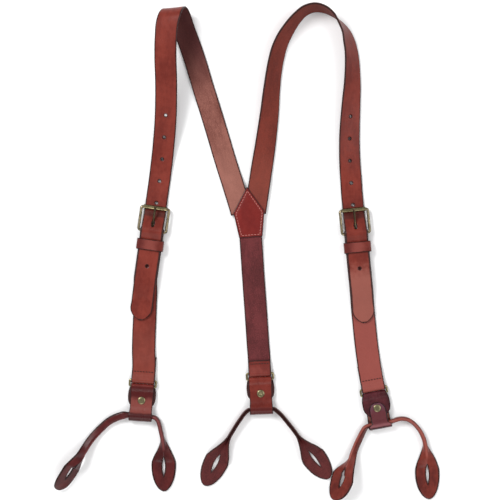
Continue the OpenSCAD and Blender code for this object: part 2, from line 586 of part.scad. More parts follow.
module button_strap(q) {
    run = lengths(q);
    color("#80342d") difference() {
        ribbon(q, round_section);
        on_ribbon(q, run, slit_back) slit(slit_len, slit_w);
        on_ribbon(q, run, run[len(run) - 1] - slit_back) slit(slit_len, slit_w);
    }
}
left_unit = both_legs(left_hang,
    [[-18.5, 0.8, 6, -80, 0, 1], [-25, -1, 5, -88, 0, 1], [-36, -6.5, 3.6, -88, 0, 1], [-44, -13.5, 3,
        -84, 0, 1],
        [-51, -20.5, 3.2, -78, 0, 1], [-57, -27.5, 4.6, -70, 0.02, 1], [-62, -34.5, 6.4, -64, 0.1, 1],
        [-65.5, -40, 8, -60, 0.3, 1], [-69, -45.5, 9.6, -57, 0.6, 1], [-73, -51.5, 11, -55, 0.86, 1],
        [-77.5, -58, 11.6, -54, 1, 1], [-81.5, -64.5, 11.6, -53, 1, 1], [-85, -70, 11, -51, 1, 0.97],
        [-88.3, -75.5, 9.4, -48, 1, 0.84], [-90.8, -79.7, 7.4, -44, 1, 0.64], [-92.5, -82.6, 5.4, -40, 1,
            0.42],
        [-93.5, -84.4, 4, -38, 1, 0.22]],
    [[18, -2.6, 5.8, 0, 0, 1], [20, -5.5, 5.2, 0, 0, 1], [21.4, -9.5, 4.8, 0, 0, 1], [22.7, -15, 4.6, 0,
        0, 1],
        [24.2, -22, 4.5, 0, 0, 1], [25.4, -28, 4.2, 0, 0.06, 1], [26.2, -33.5, 3.2, 0, 0.3, 1],
        [26.6, -39.5, 2, 0, 0.6, 1], [26.6, -46, 1.3, 0, 0.88, 1], [26.5, -52.5, 1.1, 0, 1, 1],
        [26.4, -59.5, 1.1, 0, 1, 1], [26.4, -66.5, 1.1, 0, 1, 0.98], [26.5, -73, 1.1, 0, 1, 0.88],
        [26.6, -78.5, 1.1, 0, 1, 0.7], [26.7, -82.5, 1.1, 0, 1, 0.5], [26.8, -85, 1.1, 0, 1, 0.34],
        [26.8, -86.3, 1.1, 0, 1, 0.22]], -70, 0);
back_unit = both_legs(back_hang,
    [[-18, -3.4, 5.8, 0, 0, 1], [-21, -7, 5.3, 0, 0, 1], [-24.5, -12, 4.9, 0, 0, 1], [-28.5, -18, 4.6, 0,
        0, 1],
        [-32.8, -25, 4.5, 0, 0, 1], [-37, -32, 4.4, 0, 0.02, 1], [-40, -37.5, 3.8, 0, 0.2, 1],
        [-43, -43.5, 2.5, 0, 0.52, 1], [-46.2, -50, 1.5, 0, 0.84, 1], [-50, -57.5, 1.1, 0, 1, 1],
        [-54, -65.5, 1.1, 0, 1, 1], [-57.5, -72.5, 1.1, 0, 1, 0.96], [-60.5, -78.5, 1.1, 0, 1, 0.84],
        [-62.8, -83, 1.1, 0, 1, 0.62], [-64.4, -86, 1.1, 0, 1, 0.38], [-65.2, -87.6, 1.1, 0, 1, 0.22]],
    [[18, -2, 5.8, 0, 0, 1], [22, -5.6, 5.3, 0, 0, 1], [26.5, -10.8, 4.9, 0, 0, 1], [31.5, -17, 4.6, 0, 0,
        1],
        [37, -24, 4.5, 0, 0, 1], [42, -31, 4.4, 0, 0.02, 1], [45.5, -36, 3.7, 0, 0.24, 1],
        [49.5, -41.5, 2.4, 0, 0.56, 1], [54, -47.5, 1.5, 0, 0.86, 1], [59, -54.5, 1.1, 0, 1, 1],
        [64, -61, 1.1, 0, 1, 1], [68.5, -67, 1.1, 0, 1, 0.94], [72.5, -72, 1.1, 0, 1, 0.78],
        [75.5, -76, 1.1, 0, 1, 0.55], [77.2, -78.4, 1.1, 0, 1, 0.34], [78, -79.4, 1.1, 0, 1, 0.22]], 0, 0);
right_unit = both_legs(right_hang,
    [[-17.2, -5, 5.8, 30, 0, 1], [-20, -9.8, 5.6, 38, 0, 1], [-23, -16, 5.5, 44, 0, 1], [-26.8, -24, 5.6,
        46, 0, 1],
        [-29.8, -31.5, 6, 46, 0.04, 1], [-32, -38, 7, 44, 0.22, 1], [-34.5, -45, 8.6, 42, 0.5, 1],
        [-38.5, -52.5, 9.8, 38, 0.82, 1], [-42, -59.5, 9.8, 34, 1, 1], [-44.5, -67, 9, 31, 1, 1],
        [-47.4, -74, 7.6, 28, 1, 0.92], [-50, -79.5, 6, 25, 1, 0.75], [-52, -83.3, 4.6, 22, 1, 0.54],
        [-53.2, -85.6, 3.6, 20, 1, 0.36], [-53.8, -86.8, 3.1, 20, 1, 0.22]],
    [[18, 4.2, 6.2, 0, 0, 1], [24.5, 5.6, 5.5, 0, 0, 1], [31, 4.8, 5, 0, 0, 1], [37, 1.5, 4.7, 0, 0, 1],
        [43.5, -5, 4.6, 0, 0, 1], [48.2, -12.5, 4.5, 0, 0, 1], [51, -19.5, 4.5, 0, 0, 1],
        [52.3, -25.5, 4.3, 0, 0.04, 1], [53.1, -31.5, 3.2, 0, 0.3, 1], [53.8, -37.5, 2, 0, 0.62, 1],
        [54.3, -44, 1.2, 0, 0.9, 1], [54.6, -51, 1.1, 0, 1, 1], [54.9, -58, 1.1, 0, 1, 1],
        [55.2, -65, 1.1, 0, 1, 1], [55.7, -71.5, 1.1, 0, 1, 0.93], [56.4, -77.5, 1.1, 0, 1, 0.77],
        [57, -82, 1.1, 0, 1, 0.55], [57.5, -85, 1.1, 0, 1, 0.36], [57.8, -86.8, 1.1, 0, 1, 0.22]], 25, 0);
module left_button_strap() { button_strap(left_unit); }
module right_button_strap() { button_strap(right_unit); }
module back_button_strap() { button_strap(back_unit); }

left_shoulder_strap();
right_shoulder_strap();
back_strap();
yoke_outer_patch();
yoke_inner_patch();
yoke_stitching();
left_front_strap();
right_front_strap();
left_ring_stitching();
right_ring_stitching();
back_ring_stitching();
left_buckle_stitching();
right_buckle_stitching();
left_buckle_frame();
left_buckle_roller();
left_buckle_prong();
left_keeper();
right_buckle_frame();
right_buckle_roller();
right_buckle_prong();
right_keeper();
left_ring();
left_end_tab();
left_rivet_cap();
left_rivet_post();
left_button_strap();
right_ring();
right_end_tab();
right_rivet_cap();
right_rivet_post();
right_button_strap();
back_ring();
back_end_tab();
back_rivet_cap();
back_rivet_post();
back_button_strap();
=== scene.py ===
import math
from math import hypot, pi, sqrt

import bmesh
import bpy
from mathutils import Matrix, Vector


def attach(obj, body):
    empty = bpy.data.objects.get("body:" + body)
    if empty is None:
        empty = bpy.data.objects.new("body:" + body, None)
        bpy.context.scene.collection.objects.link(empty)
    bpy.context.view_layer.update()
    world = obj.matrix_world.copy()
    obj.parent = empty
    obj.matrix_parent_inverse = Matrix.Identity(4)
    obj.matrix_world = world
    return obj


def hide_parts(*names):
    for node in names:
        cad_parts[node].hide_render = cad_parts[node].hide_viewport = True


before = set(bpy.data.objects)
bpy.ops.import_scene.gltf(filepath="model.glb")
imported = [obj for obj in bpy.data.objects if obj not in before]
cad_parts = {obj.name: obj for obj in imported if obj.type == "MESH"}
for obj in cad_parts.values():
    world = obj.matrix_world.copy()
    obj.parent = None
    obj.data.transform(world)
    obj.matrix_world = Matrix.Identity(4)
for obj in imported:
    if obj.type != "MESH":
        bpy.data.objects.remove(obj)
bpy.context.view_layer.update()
scene = bpy.context.scene
MM = 0.001

# ---------- camera ----------
photo_w, eye_h = 575, 1450  # the photo's width at the floor, and the camera's height over it
eye = bpy.data.cameras.new("camera")
eye.sensor_width = 36
eye.lens = 36 * eye_h / photo_w
eye.clip_start, eye.clip_end = 0.05, 20
camera = bpy.data.objects.new("camera", eye)
camera.location = (1.15 * MM, -42.6 * MM, eye_h * MM)
scene.collection.objects.link(camera)
scene.camera = camera

# ---------- sizes, as in part.scad ----------
shoulder_w, front_w, back_w, strap_t = 25, 27, 26, 2.2
shoulder_rise, front_len, back_len, tail_len = 234, 175, 184, 103
yoke_half_w, yoke_foot_half_w, yoke_up, yoke_down, patch_t = 17.8, 13.4, 30, 28, 1.6
frame_wire, prong_d = 3.2, 2.4
hole_pitch, hole_d, keeper_t, keeper_len = 25.4, 4, 1.6, 12.5
ring_wire, tab_t, flap_w, tab_w, tongue_w = 2.4, 1.6, 32, 27, 19
rivet_drop, loop_drop, rivet_head, rivet_shaft = 16, 34, 8.6, 3
neck_w, neck_t, leaf_w, leaf_t, slit_len, slit_w = 8.6, 4.6, 27, 2, 23, 4
pivot_gap, lap_gap, glue_gap = 0.1, 0.3, 0.05
stitch_pitch, stitch_len = 3, 2.1

keeper_lift = keeper_t + lap_gap
bar_z = keeper_lift + strap_t + pivot_gap + frame_wire / 2
bar_r = frame_wire / 2 + pivot_gap + strap_t / 2
under_z = keeper_lift + strap_t / 2
lap_z = under_z + strap_t + glue_gap
tail_z = lap_z + strap_t + lap_gap
hump_z = bar_z + bar_r + strap_t + lap_gap
ring_z = strap_t + pivot_gap + ring_wire / 2
ring_r = ring_wire / 2 + pivot_gap + strap_t / 2
yoke_z = patch_t + glue_gap + strap_t / 2
ring_span = ring_wire + 2 * pivot_gap + strap_t + tab_t + 0.8  # between a ring's two bars
tunnel_w = 0.75 * neck_w
loop_r = hypot(tunnel_w, neck_t) / 2 + 0.3
tab_tilt = math.asin((loop_r + tab_t - ring_z) / loop_drop)

left_buckle, right_buckle = (-111, -21, -8), (122.6, -23.5, 5.5)
left_hang, right_hang = (-121.5, -21 - front_len + 4, -4), (142.5, -23.5 - front_len - 2.5, 10.5)
back_hang = (12.4, -back_len, 2.5)
yoke_m = Matrix.Rotation(math.radians(4.5), 4, "Z")


def sin(d):
    return math.sin(math.radians(d))


def cos(d):
    return math.cos(math.radians(d))


# ---------- stations and runs ----------
# A station is [x, y, z, wx, wy, wz, width, thickness, ...]; w points across the ribbon.
def gap(p, i):
    return math.dist(p[i][:3], p[i + 1][:3])


def slope(p, i):
    n = len(p)
    if i == 0:
        h = gap(p, 0)
        return [(b - a) / h for a, b in zip(p[0], p[1])]
    if i == n - 1:
        h = gap(p, n - 2)
        return [(b - a) / h for a, b in zip(p[n - 2], p[n - 1])]
    a, b = gap(p, i - 1), gap(p, i)
    return [((m - l) / a * b + (r - m) / b * a) / (a + b) for l, m, r in zip(p[i - 1], p[i], p[i + 1])]


def smooth(p, step):
    out = []
    for i in range(len(p) - 1):
        h = gap(p, i)
        n = max(1, round(h / step))
        ma, mb = slope(p, i), slope(p, i + 1)
        for j in range(n):
            t = j / n
            a, b = 2 * t**3 - 3 * t * t + 1, t**3 - 2 * t * t + t
            c, d = 3 * t * t - 2 * t**3, t**3 - t * t
            out.append([a * u + b * h * v + c * w + d * h * x for u, v, w, x in zip(p[i], ma, p[i + 1], mb)])
    return out + [list(p[-1])]


def lengths(q):
    out = [0.0]
    for i in range(len(q) - 1):
        out.append(out[-1] + gap(q, i))
    return out


def basis(q, i, closed=False):
    """Across, heading and outward at a ring of a run."""
    n = len(q)
    a, b = (q[i - 1], q[(i + 1) % n]) if closed else (q[max(i - 1, 0)], q[min(i + 1, n - 1)])
    t = (Vector(b[:3]) - Vector(a[:3])).normalized()
    w = Vector(q[i][3:6])
    w = (w - w.dot(t) * t).normalized()
    return w, t, w.cross(t)


def along(f, u, z, w, t):
    return [f[0] - u * sin(f[2]), f[1] + u * cos(f[2]), z, cos(f[2]), sin(f[2]), 0, w, t]


def round_bar(f, z, r, a, b, w, t, n=14):
    return [along(f, r * sin(a + (b - a) * i / n), z - r * cos(a + (b - a) * i / n), w, t)
            for i in range(n + 1)]


def at(f):
    return Matrix.Translation((f[0], f[1], 0)) @ Matrix.Rotation(math.radians(f[2]), 4, "Z")


# ---------- meshes ----------
class Build:
    """Collects faces with two UV maps: 'mm' is along and across the leather, 'rim' is the distance from
    the cut edge and the side (1 grain, 0 flesh)."""

    def __init__(self):
        self.verts, self.faces, self.mm, self.rim = [], [], [], []

    def face(self, ids, mm, rim):
        self.faces.append(ids)
        self.mm.append(mm)
        self.rim.append(rim)

    def object(self, name, material, sharp=38):
        me = bpy.data.meshes.new(name)
        me.from_pydata([Vector(v) * MM for v in self.verts], [], self.faces)
        for layer, data in (("mm", self.mm), ("rim", self.rim)):
            uv = me.uv_layers.new(name=layer)
            flat = [c for face in data for pair in face for c in pair]
            uv.data.foreach_set("uv", flat)
        ob = bpy.data.objects.new(name, me)
        scene.collection.objects.link(ob)
        tidy(me, sharp)
        me.materials.append(material)
        return ob


def tidy(me, sharp=38):
    bm = bmesh.new()
    bm.from_mesh(me)
    bmesh.ops.recalc_face_normals(bm, faces=bm.faces)
    bm.to_mesh(me)
    bm.free()
    me.polygons.foreach_set("use_smooth", [True] * len(me.polygons))
    me.set_sharp_from_angle(angle=math.radians(sharp))


def strap_section(w, t, crown=0.12, cols=9):
    """Closed section of a strap with rounded, burnished edges: (x, z, across, rim, side)."""
    r = min(0.42 * t, 0.95, w / 2 - 0.05)
    x1 = w / 2 - r
    out = []
    e2, e3 = x1 - min(0.8, x1 / 4), x1 - min(2, x1 / 2.5)
    xs = [-x1, -e2] + [e3 * (2 * i / (cols - 1) - 1) for i in range(cols)] + [e2, x1]
    for x in xs:
        out.append((x, t / 2 + crown * (1 - (2 * x / w) ** 2), x, w / 2 - abs(x), 1))
    for a in (60, 30, 5, -5, -30, -60):
        out.append((x1 + r * cos(a), (t / 2 - r) * (1 if a > 0 else -1) + r * sin(a), w / 2,
                    0.25 * abs(sin(a)), 1 if a > 0 else 0))
    for x in reversed(xs):
        out.append((x, -t / 2, x, w / 2 - abs(x), 0))
    for a in (-60, -30, -5, 5, 30, 60):
        out.append((-x1 - r * cos(a), (t / 2 - r) * (1 if a > 0 else -1) + r * sin(a), -w / 2,
                    0.25 * abs(sin(a)), 1 if a > 0 else 0))
    return out


def plain(s):
    return strap_section(s[6], s[7])


def ribbon(q, section, grain=1, closed=False):
    """Sweeps section(station) along a run. grain 1 puts the grain side outward, -1 inward."""
    b = Build()
    run = lengths(q)
    total = run[-1] + (gap([q[-1], q[0]], 0) if closed else 0)
    rings = []
    for i, s in enumerate(q):
        w, _, o = basis(q, i, closed)
        c = Vector(s[:3])
        end = 99 if closed else min(run[i], total - run[i])
        squeeze = 1 if end > 0.7 else 0.62 + 0.38 * sqrt(max(0, end / 0.7))
        sec = section(s)
        rings.append(sec)
        for x, z, *_ in sec:
            b.verts.append(c + w * x + o * z * squeeze)
    k = len(rings[0])
    n = len(q)
    for i in range(n if closed else n - 1):
        i2 = (i + 1) % n
        ua, ub = run[i], run[i + 1] if i + 1 < n else total
        ea, eb = (99, 99) if closed else (min(run[i], total - run[i]), min(run[i2], total - run[i2]))
        for j in range(k):
            j2 = (j + 1) % k
            A, B, C, D = rings[i][j], rings[i][j2], rings[i2][j2], rings[i2][j]
            side = [A[4], B[4]]
            if side[0] != side[1]:
                side = [0.5, 0.5]
            if grain < 0:
                side = [1 - v for v in side]
            b.face((i * k + j, i * k + j2, i2 * k + j2, i2 * k + j),
                   ((ua, A[2]), (ua, B[2]), (ub, C[2]), (ub, D[2])),
                   ((min(A[3], ea), side[0]), (min(B[3], ea), side[1]), (min(C[3], eb), side[1]),
                    (min(D[3], eb), side[0])))
    if not closed:
        for i, u in ((0, 0.0), (n - 1, total)):
            ids = tuple(i * k + j for j in range(k))
            b.face(ids, tuple((u, rings[i][j][2]) for j in range(k)), tuple((0, 0.5) for _ in range(k)))
    return b


def cutter(name, verts, faces):
    me = bpy.data.meshes.new(name)
    me.from_pydata([Vector(v) * MM for v in verts], [], faces)
    for layer in ("mm", "rim"):
        uv = me.uv_layers.new(name=layer)
        uv.data.foreach_set("uv", [0.0, 0.5] * len(me.loops))
    tidy(me)
    ob = bpy.data.objects.new(name, me)
    scene.collection.objects.link(ob)
    return ob


def prism(outline, z0, z1, m):
    """An outline in XY drawn between two heights, moved by m."""
    n = len(outline)
    verts = [m @ Vector((x, y, z)) for z in (z0, z1) for x, y in outline]
    faces = [tuple(range(n - 1, -1, -1)), tuple(range(n, 2 * n))]
    faces += [(i, (i + 1) % n, n + (i + 1) % n, n + i) for i in range(n)]
    return verts, faces


def cut(ob, shapes, sharp=38):
    """Takes prisms away from ob; the result is applied to its mesh."""
    verts, faces = [], []
    for v, f in shapes:
        k = len(verts)
        verts += v
        faces += [tuple(i + k for i in g) for g in f]
    tool = cutter("cutter", verts, faces)
    mod = ob.modifiers.new("cut", "BOOLEAN")
    mod.operation, mod.solver, mod.object = "DIFFERENCE", "EXACT", tool
    deps = bpy.context.evaluated_depsgraph_get()
    made = bpy.data.meshes.new_from_object(ob.evaluated_get(deps), preserve_all_data_layers=True,
                                           depsgraph=deps)
    ob.modifiers.clear()
    old = ob.data
    ob.data = made
    bpy.data.meshes.remove(old)
    bpy.data.objects.remove(tool)
    made.polygons.foreach_set("use_smooth", [True] * len(made.polygons))
    made.set_sharp_from_angle(angle=math.radians(sharp))
    while len(made.materials) > 1:
        made.materials.pop()


def place_on(q, run, s):
    """Matrix at the length s of a run, its Z along the outward side."""
    i = max(0, min(len(q) - 2, sum(1 for v in run if v <= s) - 1))
    f = (s - run[i]) / (run[i + 1] - run[i])
    a, b = Vector(q[i][:3]), Vector(q[i + 1][:3])
    t = (b - a).normalized()
    w = Vector(q[i][3:6])
    w = (w - w.dot(t) * t).normalized()
    m = Matrix((w, t, w.cross(t))).transposed().to_4x4()
    m.translation = a + (b - a) * f
    return m


def disc(r, n):
    return [(r * math.cos(2 * pi * i / n), r * math.sin(2 * pi * i / n)) for i in range(n)]


def give(ob, body, slot, *nodes):
    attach(ob, body)
    if nodes:
        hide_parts(*nodes)


# ---------- materials ----------
def lin(r, g, b):
    f = lambda c: c / 12.92 if c <= 0.04045 else ((c + 0.055) / 1.055) ** 2.4
    return (f(r / 255), f(g / 255), f(b / 255), 1)


class Tree:
    def __init__(self, name):
        self.mat = bpy.data.materials.new(name)
        self.mat.use_nodes = True
        self.t = self.mat.node_tree
        self.shader = self.t.nodes["Principled BSDF"]

    def node(self, kind, inputs=None, **props):
        n = self.t.nodes.new(kind)
        for k, v in props.items():
            setattr(n, k, v)
        for k, v in (inputs or {}).items():
            self.put(n.inputs[k], v)
        return n

    def put(self, socket, v):
        if isinstance(v, bpy.types.NodeSocket):
            self.t.links.new(v, socket)
        else:
            socket.default_value = v

    def math(self, op, a, b=0.0, clamp=False):
        return self.node("ShaderNodeMath", {0: a, 1: b}, operation=op, use_clamp=clamp).outputs[0]

    def add(self, a, b):
        return self.math("ADD", a, b)

    def sub(self, a, b, clamp=False):
        return self.math("SUBTRACT", a, b, clamp)

    def mul(self, a, b):
        return self.math("MULTIPLY", a, b)

    def size(self, a):
        return self.math("ABSOLUTE", a)

    def most(self, a, b):
        return self.math("MAXIMUM", a, b)

    def mix(self, fac, a, b):
        return self.node("ShaderNodeMix", {0: fac, 6: a, 7: b}, data_type="RGBA").outputs[2]

    def step(self, v, lo, hi, a=0.0, b=1.0):
        n = self.node("ShaderNodeMapRange", {0: v, 1: lo, 2: hi, 3: a, 4: b},
                      interpolation_type="SMOOTHSTEP")
        return n.outputs[0]

    def noise(self, vec, scale, detail=3.0, rough=0.55):
        return self.node("ShaderNodeTexNoise",
                         {"Vector": vec, "Scale": scale, "Detail": detail, "Roughness": rough}).outputs[0]

    def scaled(self, vec, x, y, z=1.0, ox=0.0, oy=0.0):
        return self.node("ShaderNodeMapping",
                         {"Vector": vec, "Location": (ox, oy, 0), "Scale": (x, y, z)}).outputs[0]

    def bump(self, height, distance, strength=1.0, before=None):
        n = self.node("ShaderNodeBump", {"Height": height, "Distance": distance, "Strength": strength})
        if before is not None:
            self.put(n.inputs["Normal"], before)
        return n.outputs[0]


def leather(name, grain, flesh, edge=(46, 18, 16), seed=0.0, rough=0.42, contrast=1.0, rim=1.9, holes=None,
            slits=(), band=(), painted_light=(), painted_crease_highlight=None):
    """Leather by its UV maps: 'mm' for the grain and streaks, 'rim' for the burnished edge and the side.
    Places are lengths along the piece. holes is (first, pitch, last number), slits their middles,
    band (place, width, amount) is a painted shadow across, the stretches (side, from, to, share, colour)
    paint shade darker or sheen paler, and the crease entry (from, to, colour) paints a highlight along a
    folded crease."""
    t = Tree(name)
    mm = t.node("ShaderNodeUVMap", uv_map="mm").outputs[0]
    info = t.node("ShaderNodeSeparateXYZ", {0: t.node("ShaderNodeUVMap", uv_map="rim").outputs[0]})
    edge_mm, side = info.outputs[0], info.outputs[1]
    place = t.node("ShaderNodeSeparateXYZ", {0: mm})
    u, v = place.outputs[0], place.outputs[1]
    pos = t.scaled(mm, 1, 1, 1, seed, seed * 1.7)
    blotch = t.noise(t.scaled(pos, 0.022, 0.05), 1.0, 4.0, 0.6)
    streak = t.noise(t.scaled(pos, 0.05, 0.4), 1.0, 3.0, 0.6)
    patchy = t.noise(pos, 0.16, 4.0, 0.65)
    pores = t.node("ShaderNodeTexVoronoi", {"Vector": pos, "Scale": 0.85}, feature="F1").outputs[0]
    fine = t.noise(pos, 2.2, 3.0, 0.7)
    dust = t.noise(pos, 0.9, 4.0, 0.75)
    shade = t.add(t.mul(blotch, 0.6), t.add(t.mul(streak, 0.12), t.mul(patchy, 0.28)))
    shade = t.step(shade, 0.5 - 0.13 / contrast, 0.5 + 0.13 / contrast)
    dark_g, light_g = grain
    dark_f, light_f = flesh
    col_g = t.mix(shade, lin(*dark_g), lin(*light_g))
    col_g = t.mix(t.step(fine, 0.35, 0.75, 0.0, 0.22), col_g, t.mix(0.5, col_g, lin(*dark_g)))
    col_f = t.mix(shade, lin(*dark_f), lin(*light_f))
    col_f = t.mix(t.step(dust, 0.5, 0.68, 0.0, 0.5), col_f,
                  lin(*[min(255, int(c * 1.22 + 14)) for c in light_f]))
    col_f = t.mix(t.step(dust, 0.36, 0.46, 0.45, 0.0), col_f, lin(*[int(c * 0.7) for c in dark_f]))
    # each stretch paints the piece darker for shade or paler for sheen along its length
    for face, a, b, share, tint in painted_light:
        k = t.step(t.add(u, t.mul(t.sub(patchy, 0.5), min(30.0, abs(b - a)))), a, b, 0.0, share)
        if face == "flesh":
            col_f = t.mix(k, col_f, lin(*tint))
        else:
            col_g = t.mix(k, col_g, lin(*tint))
    col = t.mix(t.step(side, 0.45, 0.55), col_f, col_g)
    wob = t.add(edge_mm, t.mul(t.sub(patchy, 0.5), 1.3))
    near = t.step(wob, rim * 0.35, rim, 1.0, 0.0)
    if holes:
        first, pitch, last = holes
        k = t.sub(u, first)
        number = t.math("ROUND", t.math("DIVIDE", k, pitch))
        m = t.sub(k, t.mul(number, pitch))
        d = t.math("SQRT", t.add(t.mul(m, m), t.mul(v, v)))
        inside = t.mul(t.math("GREATER_THAN", number, -0.5), t.math("LESS_THAN", number, last + 0.5))
        near = t.most(near, t.mul(t.step(d, 1.9, 2.8, 1.0, 0.0), inside))
    for s in slits:
        du = t.math("DIVIDE", t.sub(u, s), slit_len / 2)
        half = t.mul(t.sub(1.0, t.mul(du, du)), slit_w / 2)
        away = t.sub(t.size(v), half)
        near = t.most(near, t.mul(t.step(away, 0.3, 1.7, 0.85, 0.0), t.math("LESS_THAN", t.size(du), 1.12)))
    # painted highlight along the folded crease of a neck
    if painted_crease_highlight:
        a, b, tint = painted_crease_highlight
        along_it = t.mul(t.step(u, a, a + 8, 0.0, 1.0), t.step(u, b - 8, b, 1.0, 0.0))
        shift = t.add(v, t.mul(t.sub(patchy, 0.5), 1.2))
        crest_highlight = t.step(t.size(shift), 0.3, 1.2, 0.65, 0.0)
        col = t.mix(t.mul(along_it, crest_highlight), col, lin(*tint))
    # painted shadow across the piece, laid into the dark edge mask
    for s, width, amount in band:
        near = t.most(near, t.step(t.size(t.sub(u, s)), width * 0.35, width, amount, 0.0))
    col = t.mix(near, col, lin(*edge))
    t.put(t.shader.inputs["Base Color"], col)
    ro = t.add(rough, t.mul(t.sub(patchy, 0.5), 0.3))
    ro = t.add(ro, t.step(side, 0.45, 0.55, 0.26, 0.0))
    t.put(t.shader.inputs["Roughness"], t.sub(ro, t.mul(near, 0.08), clamp=True))
    t.shader.inputs["Specular IOR Level"].default_value = 0.2
    hair = t.noise(t.scaled(pos, 0.9, 1.6), 1.0, 3.0, 0.7)
    relief = t.add(t.mul(pores, 0.5), t.mul(fine, 0.6))
    relief = t.add(relief, t.mul(hair, 0.3))
    n = t.bump(relief, 0.00018, 0.7)
    n = t.bump(patchy, 0.0007, 0.35, n)
    if holes:
        n = t.bump(t.sub(1.0, t.mul(t.step(d, 1.6, 3.2, 1.0, 0.0), inside)), 0.0005, 0.8, n)
    t.put(t.shader.inputs["Normal"], n)
    return t.mat


def brass(name, deep=(70, 61, 45), worn=(162, 148, 120), scale=1.0, rough=0.33):
    """Antique brass: dark greenish patina and brighter rubbed patches, fine scratches, and sides darkened as
    painted shade and patina.
    """
    t = Tree(name)
    pos = t.node("ShaderNodeTexCoord").outputs["Object"]
    big = t.noise(pos, 160 * scale, 4.0, 0.6)
    small = t.noise(pos, 900 * scale, 4.0, 0.7)
    scratch = t.noise(t.scaled(pos, 3000, 300, 900), 1.0, 2.0, 0.5)
    f = t.step(t.add(t.mul(big, 0.65), t.mul(small, 0.35)), 0.22, 0.74)
    col = t.mix(f, lin(*deep), lin(*worn))
    col = t.mix(t.step(small, 0.52, 0.74, 0.0, 0.3), col, lin(96, 98, 72))
    normal = t.node("ShaderNodeTexCoord").outputs["Normal"]
    up_side = t.node("ShaderNodeSeparateXYZ", {0: normal}).outputs[2]
    side_shade_and_patina = t.step(t.size(up_side), 0.35, 0.85, 0.75, 0.0)
    col = t.mix(side_shade_and_patina, col, lin(44, 38, 28))  # painted shade on the sides turned away from the top, partly patina left there
    t.put(t.shader.inputs["Base Color"], col)
    t.shader.inputs["Metallic"].default_value = 1.0
    ro = t.add(rough, t.mul(t.sub(small, 0.5), 0.2))
    ro = t.sub(ro, t.mul(f, 0.08), clamp=True)
    t.put(t.shader.inputs["Roughness"], ro)
    n = t.bump(small, 0.00003, 0.5)
    t.put(t.shader.inputs["Normal"], t.bump(scratch, 0.00003, 0.5, n))
    return t.mat


def thread(name, colour, dark):
    t = Tree(name)
    pos = t.node("ShaderNodeTexCoord").outputs["Object"]
    twist = t.node("ShaderNodeTexWave", {"Vector": pos, "Scale": 900.0, "Distortion": 2.0, "Detail": 2.0},
                   wave_type="BANDS", bands_direction="DIAGONAL").outputs[1]
    fuzz = t.noise(pos, 2500.0, 3.0, 0.6)
    col = t.mix(t.add(t.mul(twist, 0.55), t.mul(fuzz, 0.45)), lin(*dark), lin(*colour))
    t.put(t.shader.inputs["Base Color"], col)
    t.shader.inputs["Roughness"].default_value = 0.42
    t.shader.inputs["Specular IOR Level"].default_value = 0.3
    t.put(t.shader.inputs["Normal"], t.bump(twist, 0.00008, 0.8))
    return t.mat


GRAIN = ((97, 32, 24), (120, 46, 35))
FLESH = ((98, 52, 44), (132, 82, 72))

# ---------- shoulder straps ----------
def up(y):
    return y if y <= 40 else 40 + (y - 40) * (shoulder_rise - 40) / 194


def flat(x, y, z):
    return [x, up(y), z, 1, 0, 0, shoulder_w, strap_t]


def in_buckle(f):
    rise = ((22, 0), (16, 0.19), (10, 0.51), (4, 0.85), (0, 1))
    side = [(u, strap_t / 2) for u in (44, 34, 27)]
    side += [(u, strap_t / 2 + (hump_z - strap_t / 2) * k) for u, k in rise]
    side.append((-4.2, (hump_z + tail_z + strap_t) / 2 - 0.9))
    side += [(u, tail_z) for u in (-8.5, -20, -32, -44, -54, -57)]
    side += [(-70, tail_z - 2), (-82, 1.5 * strap_t + lap_gap)]
    tip = ((12, 1), (9, 0.93), (6, 0.78), (3.5, 0.6), (1.5, 0.38), (0, 0.16))
    return [along(f, u, z, shoulder_w, strap_t) for u, z in side] + [
        along(f, u - tail_len, 1.5 * strap_t + lap_gap, shoulder_w * k, strap_t) for u, k in tip]


loop_h = 33  # the left strap's fold stands this high
left_run = smooth(
    [flat(x, y, z) for x, y, z in ((-8.5, 0, yoke_z), (-12, 12, yoke_z), (-17.3, 29, yoke_z),
                                   (-18.2, 32, yoke_z), (-23, 47, 1.5))]
    + [flat(x, y, strap_t / 2) for x, y in (
        (-28, 63), (-36, 90), (-44.5, 118), (-53, 145), (-61, 172), (-67, 190), (-73.6, 208))]
    + [[-76 - 15.5 * g / 180, shoulder_rise - 19 + loop_h / 2 * sin(g),
        strap_t / 2 + loop_h / 2 * (1 - cos(g)), 0.98, 0.16 * cos(g) + 0.1, 0.2 * sin(g),
        shoulder_w, strap_t] for g in (0, 22.5, 45, 67.5, 90, 112.5, 135, 157.5, 180)]
    + [flat(x, y, z) for x, y, z in (
        (-93.5, 195, 34), (-94, 172, 31), (-93.6, 150, 26), (-93.9, 130, 20.5), (-94.5, 115, 16.3),
        (-95.5, 100, 12.2), (-97, 85, 8), (-98.6, 70, 4.5), (-100.5, 55, 2.2), (-102.7, 38, strap_t / 2))]
    + in_buckle(left_buckle), 2)
right_way = (
    (7, 0, 0), (8.8, 12, 0), (11.3, 29, 0), (11.8, 32, 0), (14, 47, 6), (16.5, 63, 12), (18.5, 76, 18),
    (20.4, 90, 23), (22.2, 104, 28), (23.8, 118, 33), (25, 132, 38), (26.4, 145, 42), (28, 158, 45),
    (30.2, 171, 47), (33.5, 185, 49), (38.5, 198, 54), (45.5, 210, 60), (54.5, 222, 67), (64, 230.5, 72),
    (75, 234, 77), (86, 232, 83), (96, 226, 92), (104, 217, 105), (110.5, 207, 116), (114, 197, 125),
    (116.8, 184, 130), (118, 170, 135), (118.2, 157, 139), (118, 144, 144), (117.2, 131, 149),
    (116.4, 117, 154), (115.7, 103, 159), (115.2, 89, 163), (115.2, 76, 166), (115.6, 62, 170),
    (116.3, 49, 174), (117.2, 38, 178))


